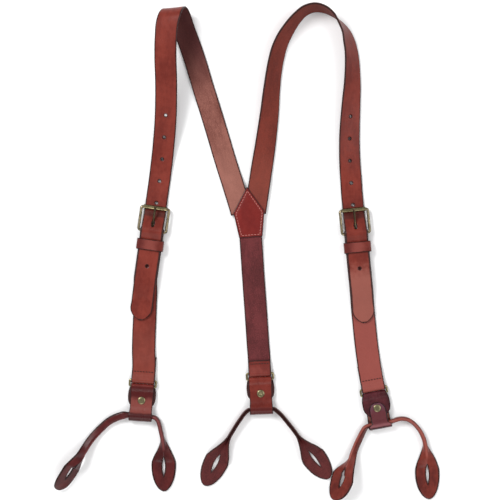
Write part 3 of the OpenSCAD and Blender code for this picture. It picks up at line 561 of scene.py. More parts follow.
def stand(way, i):
    a, b = way[max(i - 1, 0)], way[min(i + 1, len(way) - 1)]
    dx, dy = b[0] - a[0], up(b[1]) - up(a[1])
    n, g = hypot(dx, dy), way[i][2]
    dx, dy = dx / n, dy / n
    lie = yoke_z if i < 4 else 1.6 if i < 5 else strap_t / 2 * abs(cos(g))
    return [way[i][0], up(way[i][1]), lie + shoulder_w / 2 * sin(g), dy * cos(g), -dx * cos(g), -sin(g),
            shoulder_w, strap_t]


right_run = smooth([stand(right_way, i) for i in range(len(right_way))] + in_buckle(right_buckle), 2)
PRONG_AT, HOLES_UP, HOLES_DOWN = 8.7, 5, 2  # the prong's place over the bar; holes either side of it


def passing(q, run, y):
    i = max(j for j in range(len(q) - 1) if q[j][1] > y)
    return run[i] + (q[i][1] - y) / (q[i][1] - q[i + 1][1]) * (run[i + 1] - run[i])


def shoulder_strap(side, q, f, seed, flesh, painted_light):
    run = lengths(q)
    painted_light = [(face, a + run[-1] * (a < 0), b + run[-1] * (b < 0), share, tint)
            for face, a, b, share, tint in painted_light]  # a place below 0 counts back from the tail's tip
    s = passing(q, run, f[1] + PRONG_AT * cos(f[2]))
    first = s - HOLES_UP * hole_pitch
    # the band just below the buckle's bar is a painted shadow of the bar
    mat = leather(side + "_shoulder_leather", GRAIN, flesh, seed=seed,
                  holes=(first, hole_pitch, HOLES_UP + HOLES_DOWN), painted_light=painted_light,
                  band=((passing(q, run, f[1] + 19.5 * cos(f[2])), 5, 0.6),))
    ob = ribbon(q, plain, grain=-1).object(side + "_shoulder_leather_strap", mat)
    shapes = [prism(disc(hole_d / 2 - 0.45, 24), -2 * strap_t, 2 * strap_t,
                    place_on(q, run, s + k * hole_pitch))
              for k in range(-HOLES_UP, HOLES_DOWN + 1) if k]
    r = prong_d / 2 + 0.6
    slot = [(r * cos(a), 3 + r * sin(a)) for a in range(0, 181, 15)]
    slot += [(r * cos(a), -3 + r * sin(a)) for a in range(180, 361, 15)]
    shapes.append(prism(slot, -2 * strap_t, 2 * strap_t, place_on(q, run, s + 0.8)))
    cut(ob, shapes)
    x0 = -59.9 if side == "right" else -0.1
    cut(ob, [prism([(x0, -60), (x0 + 60, -60), (x0 + 60, 30), (x0, 30)], -1, 7, yoke_m)])
    cut(ob, [prism([(-60, -60), (60, -60), (60, -2.5), (-60, -2.5)], -1, 7, yoke_m)])
    give(ob, "harness", "shoulder_leather", side + "_shoulder_strap")


# the stretches here paint the left strap's flesh paler towards the yoke (painted sheen) and dark up its loop
# (painted shade)
shoulder_strap("left", left_run, left_buckle, 11.0, FLESH, (
    ("flesh", 110, 40, 0.55, (152, 100, 88)), ("flesh", 120, 215, 0.85, (58, 16, 20))))
# the stretches here paint the right strap's flesh paler towards the yoke (painted sheen), darker over its
# arch (painted shade) and its grain near the tail paler (painted sheen)
shoulder_strap("right", right_run, right_buckle, 57.0, ((92, 34, 25), (113, 45, 34)), (
    ("flesh", 90, 40, 0.3, (128, 66, 54)), ("flesh", 215, 275, 0.4, (80, 34, 30)),
    ("grain", -74, -50, 0.75, (142, 84, 74))))

# ---------- front straps ----------
lap_len, seam_u, hang_lap, slot_w = 52, 46, 27, prong_d + 1.8  # laps, their seam, the prong's slot


def eased(crown, share):
    return 1.5 * strap_t + glue_gap + (crown - 1.5 * strap_t - glue_gap) * share


def front_run(f, way, h):
    w, t = front_w, strap_t
    out = [along(f, u, under_z, w, t) for u in (-lap_len, -lap_len + 1, -30, -8)]
    out += round_bar(f, bar_z, bar_r, 0, 203, w, t)
    out += [along(f, u, lap_z + (bar_z + bar_r - lap_z) * k, w, t) for u, k in ((-4.6, 0.48), (-7.2, 0.11))]
    out += [along(f, u, lap_z, w, t) for u in (-9, -20, -35, -50, -54)]
    out += [[x, f[1] - (f[1] - y) * front_len / 175, z, 1, 0, 0, w, t] for x, y, z in way]
    out += [along(h, u, 1.5 * t + glue_gap, w, t) for u in (15, 9)]
    out += [along(h, u, eased(ring_z + ring_r, k), w, t) for u, k in ((6.5, 0.09), (4, 0.41))]
    out += round_bar(h, ring_z, ring_r + 0.22, 157, 360, w, t)
    out += [along(h, 8, t / 2, w, t), along(h, hang_lap - 1, t / 2, w, t), along(h, hang_lap, t / 2, w, t)]
    return smooth(out, 2)


def front_strap(side, f, way, h, seed, painted_light):
    q = front_run(f, way, h)
    mat = leather(side + "_front_leather", GRAIN, FLESH, seed=seed, painted_light=painted_light)
    ob = ribbon(q, plain, grain=-1).object(side + "_front_leather_strap", mat)
    half = slot_w / 2
    cut(ob, [prism([(-half, -8), (half, -8), (half, 6), (-half, 6)], keeper_lift - 1, 14, at(f))])
    give(ob, "harness", "front_leather", side + "_front_strap")


half_t = strap_t / 2
# the last stretch of each front strap, down to its ring, is painted paler: painted sheen
front_strap("left", left_buckle, (
    (-118.7, -92, 2), (-119.3, -105, half_t), (-120, -125, half_t), (-120.8, -145, half_t),
    (-121, -158, 1.6)), left_hang, 23.0, (("grain", 150, 190, 0.3, (128, 66, 56)),))
front_strap("right", right_buckle, (
    (129.6, -95, 2), (130.6, -108, half_t), (132.2, -125, half_t), (134.3, -146, half_t),
    (136.8, -166, 1.6)), right_hang, 91.0, (("grain", 120, 150, 0.8, (140, 72, 65)),))

# ---------- back strap ----------
back_lap = 15
w, t = back_w, strap_t
back_run = [[x, y * (back_len / 184 if y < -40 else 1), z, 1, 0, 0, w, t] for x, y, z in (
    (0, 0, yoke_z), (1, -12, yoke_z), (2, -28, yoke_z), (2.2, -31, yoke_z), (3.2, -46, 1.5),
    (4.6, -68, half_t), (6.6, -96, half_t), (8.6, -124, half_t), (10.4, -151, half_t))]
back_run += [along(back_hang, 16, half_t, w, t), along(back_hang, 6, half_t, w, t)]
back_run += round_bar(back_hang, ring_z, ring_r + 0.22, 0, -203, w, t)
back_run += [along(back_hang, u, eased(ring_z + ring_r, k), w, t) for u, k in ((4, 0.41), (6.5, 0.09))]
back_run += [along(back_hang, u, 1.5 * t + glue_gap, w, t) for u in (9, back_lap - 1, back_lap)]
back_run = smooth(back_run, 2)
back_mat = leather("back_leather", ((98, 34, 28), (122, 52, 44)), ((72, 25, 27), (97, 40, 42)), seed=37.0)
back = ribbon(back_run, plain, grain=1).object("back_leather_strap", back_mat)
cut(back, [prism([(-60, -2.4), (60, -2.4), (60, 57), (-60, 57)], -1, 7, yoke_m)])
give(back, "harness", "back_leather", "back_strap")


# ---------- yoke ----------
def yoke_outline(inset):
    a = math.degrees(math.atan2(yoke_up - 1, yoke_half_w))
    return [(0, yoke_up - inset / cos(a)), (yoke_half_w - inset * 1.05, 1 - inset * 0.45),
            (yoke_foot_half_w - inset * 1.1, -yoke_down + inset),
            (-yoke_foot_half_w + inset * 1.1, -yoke_down + inset),
            (-yoke_half_w + inset * 1.05, 1 - inset * 0.45)]


def patch(name, z0, top, seed, node):
    """A sewn patch: rounded burnished edges, a shallow groove under the stitches and a low dome."""
    if top:  # (inset, height)
        rings = [(0.5, 0.0), (0.15, 0.12), (0, 0.45), (0, patch_t - 0.5), (0.12, patch_t - 0.2),
                 (0.45, patch_t - 0.03), (0.9, patch_t), (1.9, patch_t), (2.3, patch_t - 0.12),
                 (2.6, patch_t - 0.17), (2.9, patch_t - 0.12), (3.4, patch_t + 0.02),
                 (5.5, patch_t + 0.12), (8.5, patch_t + 0.2), (12, patch_t + 0.24)]
    else:
        rings = [(2.0, 0.0), (0.5, 0.0), (0.15, 0.12), (0, 0.45), (0, patch_t - 0.4), (0.2, patch_t - 0.1),
                 (0.6, patch_t), (4, patch_t), (10, patch_t)]
    b = Build()
    n = 14
    outs = []
    for inset, z in rings:
        p = yoke_outline(inset)
        loop = []
        for i in range(5):
            a, c = p[i], p[(i + 1) % 5]
            loop += [(a[0] + (c[0] - a[0]) * k / n, a[1] + (c[1] - a[1]) * k / n) for k in range(n)]
        outs.append(loop)
        b.verts += [yoke_m @ Vector((x, y, z0 + z)) for x, y in loop]
    k = 5 * n
    for r in range(len(rings) - 1):
        for j in range(k):
            j2 = (j + 1) % k
            pts = [outs[r][j], outs[r][j2], outs[r + 1][j2], outs[r + 1][j]]
            ins = [rings[r][0], rings[r][0], rings[r + 1][0], rings[r + 1][0]]
            if rings[r][1] < patch_t - 0.25 and rings[r + 1][1] < patch_t - 0.15:
                ins = [0.0] * 4
            b.face((r * k + j, r * k + j2, (r + 1) * k + j2, (r + 1) * k + j), tuple((y, x) for x, y in pts),
                   tuple((i, 1) for i in ins))
    for r, ins in ((0, 0.0), (len(rings) - 1, 12.0)):
        ids = tuple(r * k + j for j in range(k))
        b.face(ids, tuple((y, x) for x, y in outs[r]), ((max(ins, rings[r][0]), 1),) * k)
    mat = leather(name + "_leather", ((98, 25, 23), (117, 33, 28)), FLESH, seed=seed, rough=0.36,
                  contrast=0.7, rim=1.5, edge=(58, 18, 18))
    give(b.object(name, mat), "harness", "yoke_leather", node)


top_z = patch_t + 2 * glue_gap + strap_t
patch("yoke_front_panel", top_z, True, 5.0, "yoke_inner_patch")
patch("yoke_rear_panel", 0, False, 71.0, "yoke_outer_patch")


# ---------- threads ----------
def stitches(rows, name, mat, slot, node, radius=0.36):
    """Rows of (a, b, z): each stitch is a twisted length of thread that dips into its two holes."""
    b = Build()
    k, n, lift, slant = 8, 9, 0.2, 0.16
    for a, c, z in rows:
        a, c = Vector((a[0], a[1], z)), Vector((c[0], c[1], z))
        d = c - a
        count = max(1, math.floor((d.length - 0.6) / stitch_pitch))
        t = d.normalized()
        w = Vector((t.y, -t.x, 0))
        for i in range(count):
            mid = a + d * (i + 0.5) / count
            base = len(b.verts)
            for r in range(n):
                s = 2 * r / (n - 1) - 1
                c0 = mid + t * s * (stitch_len / 2 + 0.15) + w * slant * s
                c0 += Vector((0, 0, lift * (1 - s * s) - 0.1))
                rr = radius * (0.35 + 0.65 * sqrt(max(0.0, 1 - s**4))) * (1 + 0.06 * math.sin(r * 2.6))
                for j in range(k):
                    g = 2 * pi * j / k
                    b.verts.append(c0 + w * rr * math.cos(g) + Vector((0, 0, rr * 0.75 * math.sin(g))))
            for r in range(n - 1):
                for j in range(k):
                    j2 = (j + 1) % k
                    b.face((base + r * k + j, base + r * k + j2, base + (r + 1) * k + j2,
                            base + (r + 1) * k + j), ((0, 0),) * 4, ((5, 1),) * 4)
            for r in (0, n - 1):
                b.face(tuple(base + r * k + j for j in range(k)), ((0, 0),) * k, ((5, 1),) * k)
    give(b.object(name, mat, 60), "harness", slot, node)


pink = thread("pink_thread", (214, 142, 134), (150, 84, 78))
dark = thread("dark_thread", (62, 22, 20), (28, 10, 10))
corners = [yoke_m @ Vector((x, y, 0)) for x, y in yoke_outline(2.6)]
stitches([(corners[i], corners[(i + 1) % 5], top_z + patch_t - 0.06) for i in range(5)], "yoke_thread", pink,
         "pink_thread", "yoke_stitching")


def seam(name, f, width, u, z, node):
    m = at(f)
    stitches([(m @ Vector((-width / 2 + 2, u, 0)), m @ Vector((width / 2 - 2, u, 0)), z + 0.1)], name, dark,
             "dark_thread", node, 0.46)


sewn_z = 2 * strap_t + glue_gap
seam("left_ring_thread", left_hang, front_w, 9.8, sewn_z, "left_ring_stitching")
seam("right_ring_thread", right_hang, front_w, 9.8, sewn_z, "right_ring_stitching")
seam("back_ring_thread", back_hang, back_w, 11, sewn_z, "back_ring_stitching")
seam("left_buckle_thread", left_buckle, front_w, -seam_u, lap_z + strap_t / 2, "left_buckle_stitching")
seam("right_buckle_thread", right_buckle, front_w, -seam_u, lap_z + strap_t / 2, "right_buckle_stitching")

# ---------- keepers ----------
keeper_u = 16  # below the bar


def keeper(side, f, seed):
    """A closed band round the straps, its corners bent and its edges burnished."""
    w = front_w + 2 * lap_gap + keeper_t
    h = tail_z + strap_t / 2 + lap_gap
    r = keeper_t / 2 + 0.5
    path = []
    for cx, cz, g0 in ((w / 2 - r, h - r, 0), (-w / 2 + r, h - r, 90), (-w / 2 + r, r, 180),
                       (w / 2 - r, r, 270)):
        for k in range(7):
            g = g0 + 15 * k
            path.append((cx + r * cos(g), cz + r * sin(g)))
        nx, nz = [(-w / 2 + r, h), (-w / 2, r), (w / 2 - r, 0), (w / 2, h - r)][[0, 90, 180, 270].index(g0)]
        x0, z0 = path[-1]
        m = 10 if g0 in (0, 180) else 3
        for k in range(1, m):
            path.append((x0 + (nx - x0) * k / m, z0 + (nz - z0) * k / m))
    mat4 = at(f)
    q = []
    for x, z in path:
        p = mat4 @ Vector((x, -keeper_u, z + keeper_t / 2))
        a = mat4.to_3x3() @ Vector((0, -1, 0))
        q.append([p.x, p.y, p.z, a.x, a.y, a.z, keeper_len, keeper_t])
    # painted highlight on the middle of the band's top, painted shade from its far corner round the sides
    painted_light = (("grain", 4, 13, 0.85, (124, 60, 53)), ("grain", 17, 27, 0.9, (82, 27, 24)))
    mat = leather(side + "_keeper_leather", ((88, 31, 25), (112, 46, 38)), FLESH, seed=seed, rough=0.32,
                  rim=1.3, painted_light=painted_light)
    band = ribbon(q, lambda p: strap_section(p[6], p[7], 0.1, 7), grain=-1, closed=True)
    ob = band.object(side + "_keeper_band", mat)
    give(ob, side + "_keeper", "keeper_leather", side + "_keeper")


keeper("left", left_buckle, 3.0)
keeper("right", right_buckle, 83.0)

# ---------- end tabs ----------
ply = tab_t + glue_gap
bar2_r = ring_wire / 2 + pivot_gap + tab_t / 2 + 0.22  # the leather springs out a little at its folds
eye_r = loop_r + tab_t / 2
flap_len = rivet_drop + 8.5
tongue_from = rivet_drop - 6.5


def tab_matrix(f, side):
    m = at(f) @ Matrix.Translation((0, -ring_span, ring_z)) @ Matrix.Rotation(-tab_tilt, 4, "X")
    return m @ Matrix.Rotation(0 if side > 0 else pi, 4, "Y")


def tab_stations(m):
    line = []  # (distance below the ring bar, height, width)

    def bulge(d):
        arch = math.sin(pi * min(1, max(0, (d + 1.5) / 24)))
        return tab_w + (flap_w - tab_w) * max(0.0, arch) ** 0.7

    for e in (0, 0.3, 1, 2.2, 4.2):
        d = flap_len - e
        r = 9
        width = bulge(d) - 2 * (r - sqrt(r * r - (r - e) ** 2)) * 0.45 if e < r else bulge(d)
        line.append((d, -ply / 2, width))
    line += [(d, h, bulge(d)) for d, h in (
        (17, -ply / 2), (14, -ply / 2), (11, -ply / 2), (8, -ply / 2), (6, -ply / 2 - 0.12),
        (3.6, -bar2_r + 0.55), (1.6, -bar2_r + 0.08))]
    line += [(-bar2_r * sin(g), -bar2_r * cos(g), tab_w) for g in range(0, 181, 15)]
    line += [(1.6, bar2_r - 0.08, tab_w), (3.6, bar2_r - 0.55, tab_w), (6, ply / 2 + 0.12, tab_w),
             (8, ply / 2, tab_w - 0.2), (14, ply / 2, tab_w - 0.9), (flap_len + 0.5, ply / 2, tab_w - 1.2),
             (loop_drop - 6.6, 1.6, tab_w - 1)]
    for g in range(140, -141, -10):
        k = min(1, max(0, (g + 100) / 30))
        width = tongue_w + (tab_w - 0.6 - tongue_w) * k if g < -70 else tab_w - 0.6
        line.append((loop_drop + eye_r * cos(g), eye_r * sin(g), width))
    line += [(loop_drop - 6.4, -1.5 * ply - 0.1, tongue_w), (flap_len + 0.5, -1.5 * ply, tongue_w),
             (tongue_from + 9.5, -1.5 * ply, tongue_w)]
    for e in (7.5, 6, 4.6, 3.3, 2.2, 1.3, 0.6, 0.2, 0):
        r = tongue_w / 2
        line.append((tongue_from + e, -1.5 * ply, 2 * sqrt(max(r * r - (r - e) ** 2, 1.4))))
    a = m.to_3x3() @ Vector((1, 0, 0))
    out = []
    for d, h, w in line:
        p = m @ Vector((0, -d, h))
        out.append([p.x, p.y, p.z, a.x, a.y, a.z, w, tab_t])
    return out


def lathe(name, profile, m, body, node):
    """Turned about Z; the profile's points run from the axis to the axis as (radius, height)."""
    b, n = Build(), 40
    rings = []
    for r, z in profile:
        if r < 1e-6:
            rings.append([len(b.verts)])
            b.verts.append(m @ Vector((0, 0, z)))
        else:
            rings.append(list(range(len(b.verts), len(b.verts) + n)))
            turns = [2 * pi * j / n for j in range(n)]
            b.verts += [m @ Vector((r * math.cos(g), r * math.sin(g), z)) for g in turns]
    for A, B in zip(rings, rings[1:]):
        for j in range(n):
            j2 = (j + 1) % n
            if len(A) == 1:
                ids = (A[0], B[j], B[j2])
            elif len(B) == 1:
                ids = (A[j], B[0], A[j2])
            else:
                ids = (A[j], B[j], B[j2], A[j2])
            b.face(ids, ((0, 0),) * len(ids), ((5, 1),) * len(ids))
    give(b.object(name, rivet_metal, 50), body, "rivet_brass", node)


rivet_metal = brass("rivet_brass", (82, 76, 54), (158, 148, 114), 0.7, 0.36)
stack_hi, stack_lo = ply / 2 + tab_t / 2, -1.5 * ply - tab_t / 2
rivet_mid, rivet_half = (stack_hi + stack_lo) / 2, (stack_hi - stack_lo) / 2


def end_tab(which, f, side, flip, seed, shades, painted_light, edge=(44, 16, 15)):
    m = tab_matrix(f, side)
    q = smooth(tab_stations(m), 0.9)
    mat = leather(which + "_tab_leather", shades, FLESH, seed=seed, rough=0.3, rim=1.4, edge=edge, painted_light=painted_light)
    ob = ribbon(q, lambda p: strap_section(p[6], p[7], 0.06), grain=-1).object(which + "_tab_leather", mat)
    give(ob, which + "_tab", "tab_leather", which + "_end_tab")
    r = rivet_head / 2
    rm = m @ Matrix.Translation((0, -rivet_drop, rivet_mid))
    rm = rm @ Matrix.Rotation(pi if flip else 0, 4, "Y")
    top = rivet_half
    cap = [(0, top), (r - 0.35, top), (r - 0.05, top + 0.08), (r, top + 0.25), (r - 0.1, top + 0.42),
           (r - 0.5, top + 0.6), (r - 1.3, top + 0.76), (r * 0.5, top + 0.86), (r * 0.25, top + 0.9),
           (0, top + 0.91)]
    lathe(which + "_rivet_dome", cap, rm, which + "_tab", which + "_rivet_cap")
    s, lo = rivet_shaft / 2, -rivet_half
    post = [(0, top - 0.02), (s, top - 0.02), (s, lo), (r - 0.35, lo), (r - 0.05, lo - 0.08), (r, lo - 0.25),
            (r - 0.1, lo - 0.45), (r - 0.6, lo - 0.66), (r * 0.6, lo - 0.82), (s + 0.35, lo - 0.9),
            (s - 0.05, lo - 0.8),
            (s - 0.3, lo - 0.5), (s - 0.5, lo - 0.32), (0, lo - 0.3)]
    lathe(which + "_rivet_stud", post, rm, which + "_tab", which + "_rivet_post")


# the flap's flesh side beside the front ply is painted near black: painted shadow
wing_shadow = ("flesh", 30, 26, 0.9, (42, 17, 19))
# left tab: painted shade below the ring's fold, painted sheen lower down, painted shade on the loop's curved
# front
end_tab("left", left_hang, 1, False, 7.0, ((88, 28, 25), (112, 42, 36)), (
    ("grain", 31, 33, 0.85, (66, 17, 18)), ("grain", 43, 50, 0.9, (122, 62, 56)),
    ("grain", 62.5, 65.5, 0.95, (60, 17, 19)), wing_shadow))
# right tab: a painted highlight line, painted shade below it and paler painted glints on the tongue
end_tab("right", right_hang, -1, True, 29.0, ((52, 19, 24), (84, 34, 40)), (
    ("grain", 79.8, 81, 0.75, (138, 84, 88)), ("grain", 82, 84.5, 0.8, (76, 27, 33)),
    ("grain", 95, 104, 0.55, (92, 62, 76)), wing_shadow), (26, 10, 14))
# back tab: painted shade on the loop's curved front
end_tab("back", back_hang, 1, True, 43.0, ((92, 31, 25), (116, 45, 36)),
        (("grain", 64.5, 67, 0.85, (74, 22, 21)), wing_shadow))

# ---------- button straps ----------
loop_z = loop_r + tab_t


def loop_at(f):
    d = ring_span + loop_drop * math.cos(tab_tilt)
    return f[0] + d * sin(f[2]), f[1] - d * cos(f[2])


def leg_station(way, i, c):
    """A row of a leg is (x, y, z) from its tunnel's middle, then roll, spread and narrowing."""
    p = way[i] + (0, 0, 1)[len(way[i]) - 3:]
    a, b = way[max(i - 1, 0)], way[min(i + 1, len(way) - 1)]
    n = hypot(b[0] - a[0], b[1] - a[1])
    dx, dy, g = (b[0] - a[0]) / n, (b[1] - a[1]) / n, p[3]
    width = (neck_t + (leaf_w - neck_t) * p[4]) * p[5]
    thick = neck_w + (leaf_t - neck_w) * min(1, 1.6 * p[4])
    return [c[0] + p[0], c[1] + p[1], p[2], dy * cos(g), -dx * cos(g), sin(g), width, thick, p[4], p[5]]


def in_tunnel(f, c, x, roll):
    return [c[0] + x * cos(f[2]), c[1] + x * sin(f[2]), loop_z, sin(f[2]) * cos(roll),
            -cos(f[2]) * cos(roll), sin(roll), neck_t, tunnel_w, 0, 1]


def both_legs(f, left, right, roll_l, roll_r):
    c = loop_at(f)
    back = left[::-1]
    out = [leg_station(back, i, c) for i in range(len(back))]
    out += [in_tunnel(f, c, x, g) for x, g in (
        (-tab_w / 2 - 0.6, roll_l), (-tab_w / 2 + 2, roll_l), (-4, roll_l * 0.8 + roll_r * 0.2),
        (4, roll_l * 0.2 + roll_r * 0.8), (tab_w / 2 - 2, roll_r), (tab_w / 2 + 0.6, roll_r))]
    out += [leg_station(right, i, c) for i in range(len(right))]
    return smooth(out, 1.6)


def neck_section(s, fold):
    """The folded neck opens into the leaf: a bent sheet whose half angle a goes from 90, two plies side
    by side, to 0, flat. fold 1 has the crease up, -1 down."""
    width, thick, spread, narrow = s[6], s[7], min(1, max(0, s[8])), s[9]
    t = leaf_t if spread > 0.5 else leaf_t + (neck_t / 2 - 0.1 - leaf_t) * (1 - 2 * spread)
    rho = neck_t / 2 - t / 2
    folded = 2 * neck_w - 1.6
    full = 2 * thick - 1.6
    if spread > 0:
        full = max(folded, width / max(narrow, 0.05) + folded * 0.35 * (1 - spread)) * narrow
    full = max(full, width)
    lo, hi = 0.0, pi / 2
    for _ in range(24):  # the angle at which the bent sheet is as wide as the station
        a = (lo + hi) / 2
        wide = 2 * (rho * math.sin(a) + max(0, full / 2 - rho * a) * math.cos(a)) + t * math.sin(a)
        lo, hi = (a, hi) if wide > width else (lo, a)
    a = 0.0 if spread >= 0.999 else (lo + hi) / 2
    half = full / 2
    arm = max(0.05, half - rho * a)
    line = [(rho * math.sin(a) + arm * k * math.cos(a), rho * (math.cos(a) - 1) - arm * k * math.sin(a),
             math.cos(a), -math.sin(a), rho * a + arm * k)
            for k in (1, 0.93, 0.82, 0.65, 0.45, 0.25, 0.08)]
    bend = [(rho * math.sin(a * k), rho * (math.cos(a * k) - 1), math.cos(a * k), -math.sin(a * k),
             rho * a * k) for k in (1, 0.6, 0.2)]
    mid = line + bend
    mid += [(-x, z, tx, -tz, -v) for x, z, tx, tz, v in reversed(mid)]
    height = rho * (1 - math.cos(a)) + arm * math.sin(a)
    shift = (height + t / 2 * math.cos(a)) - thick / 2 if a > 0 else 0
    top, bottom = [], []
    for x, z, tx, tz, v in mid:
        nx, nz = -tz, tx
        e = half - abs(v)
        r = t / 2 * (1 if e > t * 0.45 else 0.62)
        top.append((x + nx * r, z + nz * r + shift, v, e, 1))
        bottom.append((x - nx * r, z - nz * r + shift, v, e, 0))
    ends = []
    for x, z, tx, tz, v in (mid[-1], mid[0]):
        o = 1 if v > 0 else -1
        ends.append((x + o * tx * t * 0.28, z + o * tz * t * 0.28 + shift, v, 0, 0.5))
    sec = top + [ends[0]] + bottom[::-1] + [ends[1]]
    if fold < 0:
        lift = shift + t / 2 - thick / 2
        sec = [(x, lift - z, v, e, 1 - side) for x, z, v, e, side in sec][::-1]
    return sec


slit_back = 28.5  # a slit's middle from its tip


def lens_outline(l, w, n=14):
    r = (l * l / 4 + w * w / 4) / w
    a = math.asin(l / 2 / r)
    one = [(r * math.cos(g) - r + w / 2, r * math.sin(g))
           for g in [-a + 2 * a * i / n for i in range(n + 1)]]
    return one + [(-x, -y) for x, y in one[1:-1]]


tip_len = 29      # the leaf narrows over this much
shoulder_len = 33  # and again from there to its neck


def rounded(q):
    """Both leaves end in a pointed half ellipse, with close stations at the very tip, and ease into
    their necks."""
    for _ in range(2):
        run = lengths(q)
        first = next(i for i, s in enumerate(run) if s > tip_len)
        out = []
        for e in (0.04, 0.16, 0.4, 0.8, 1.4, 2.2, 3.2, 4.4, 5.8, 7.4, 9.2, 11.2, 13.4, 15.8, 18.4,
                  21.2, 24.2, 27.2):
            s = e - 0.55
            i = max([j for j in range(first) if run[j] <= s] or [0])
            k = (s - run[i]) / (run[i + 1] - run[i])
            p = [a + (b - a) * k for a, b in zip(q[i], q[i + 1])]
            p[9] = (1 - (1 - e / tip_len) ** 2) ** 0.56
            p[6] = (neck_t + (leaf_w - neck_t) * p[8]) * p[9]
            out.append(p)
        for p, s in zip(q[first:], run[first:]):
            p = list(p)
            if s < tip_len + shoulder_len:
                share = 1 - 0.12 * math.sin(pi * (s - tip_len) / shoulder_len) ** 2
                p[6], p[9] = p[6] * share, p[9] * share
            out.append(p)
        q = out[::-1]
    return q


def button_strap(which, q, fold, seed, shades, edge, widths):
    q = rounded(q)
    run = lengths(q)
    mids = (slit_back, run[-1] - slit_back)
    # the left and right necks get a painted highlight along their crease
    mat = leather(which + "_button_leather", shades, ((64, 20, 21), (88, 34, 33)), seed=seed, rough=0.34,
                  rim=1.6, edge=edge, slits=mids,
                  painted_crease_highlight=(46, run[-1] - 46, [c + 34 for c in shades[1]]) if fold > 0 else None)
    ob = ribbon(q, lambda p: neck_section(p, fold), grain=fold).object(which + "_button_leather", mat, 45)
    for s, w in zip(mids, widths):
        cut(ob, [prism(lens_outline(slit_len, w), -15, 15, place_on(q, run, s))], 45)
    give(ob, which + "_button_strap", "button_leather", which + "_button_strap")


left_unit = both_legs(left_hang, (
    (-18.5, 0.8, 6, -80, 0), (-25, -1, 5, -88, 0), (-36, -6.5, 3.6, -88, 0), (-44, -13.5, 3, -84, 0),
    (-51, -20.5, 3.2, -78, 0), (-57, -27.5, 4.6, -70, 0.02), (-62, -34.5, 6.4, -64, 0.1),
    (-65.5, -40, 8, -60, 0.3), (-69, -45.5, 9.6, -57, 0.6), (-73, -51.5, 11, -55, 0.86),
    (-77.5, -58, 11.6, -54, 1), (-81.5, -64.5, 11.6, -53, 1), (-85, -70, 11, -51, 1, 0.97),
    (-88.3, -75.5, 9.4, -48, 1, 0.84), (-90.8, -79.7, 7.4, -44, 1, 0.64), (-92.5, -82.6, 5.4, -40, 1, 0.42),
    (-93.5, -84.4, 4, -38, 1, 0.22)), (
    (18, -2.6, 5.8), (20, -5.5, 5.2), (21.4, -9.5, 4.8),
    (22.7, -15, 4.6), (24.2, -22, 4.5), (25.4, -28, 4.2, 0, 0.06), (26.2, -33.5, 3.2, 0, 0.3),
    (26.6, -39.5, 2, 0, 0.6), (26.6, -46, 1.3, 0, 0.88), (26.5, -52.5, 1.1, 0, 1), (26.4, -59.5, 1.1, 0, 1),
    (26.4, -66.5, 1.1, 0, 1, 0.98), (26.5, -73, 1.1, 0, 1, 0.88), (26.6, -78.5, 1.1, 0, 1, 0.7),
    (26.7, -82.5, 1.1, 0, 1, 0.5), (26.8, -85, 1.1, 0, 1, 0.34), (26.8, -86.3, 1.1, 0, 1, 0.22)), -70, 0)
back_unit = both_legs(back_hang, (
    (-18, -3.4, 5.8), (-21, -7, 5.3), (-24.5, -12, 4.9), (-28.5, -18, 4.6), (-32.8, -25, 4.5),
    (-37, -32, 4.4, 0, 0.02), (-40, -37.5, 3.8, 0, 0.2), (-43, -43.5, 2.5, 0, 0.52),
    (-46.2, -50, 1.5, 0, 0.84), (-50, -57.5, 1.1, 0, 1), (-54, -65.5, 1.1, 0, 1),
    (-57.5, -72.5, 1.1, 0, 1, 0.96), (-60.5, -78.5, 1.1, 0, 1, 0.84), (-62.8, -83, 1.1, 0, 1, 0.62),
    (-64.4, -86, 1.1, 0, 1, 0.38), (-65.2, -87.6, 1.1, 0, 1, 0.22)), (
    (18, -2, 5.8), (22, -5.6, 5.3),
    (26.5, -10.8, 4.9), (31.5, -17, 4.6), (37, -24, 4.5), (42, -31, 4.4, 0, 0.02),
    (45.5, -36, 3.7, 0, 0.24), (49.5, -41.5, 2.4, 0, 0.56), (54, -47.5, 1.5, 0, 0.86),
    (59, -54.5, 1.1, 0, 1), (64, -61, 1.1, 0, 1), (68.5, -67, 1.1, 0, 1, 0.94),
    (72.5, -72, 1.1, 0, 1, 0.78), (75.5, -76, 1.1, 0, 1, 0.55), (77.2, -78.4, 1.1, 0, 1, 0.34),
    (78, -79.4, 1.1, 0, 1, 0.22)), 0, 0)
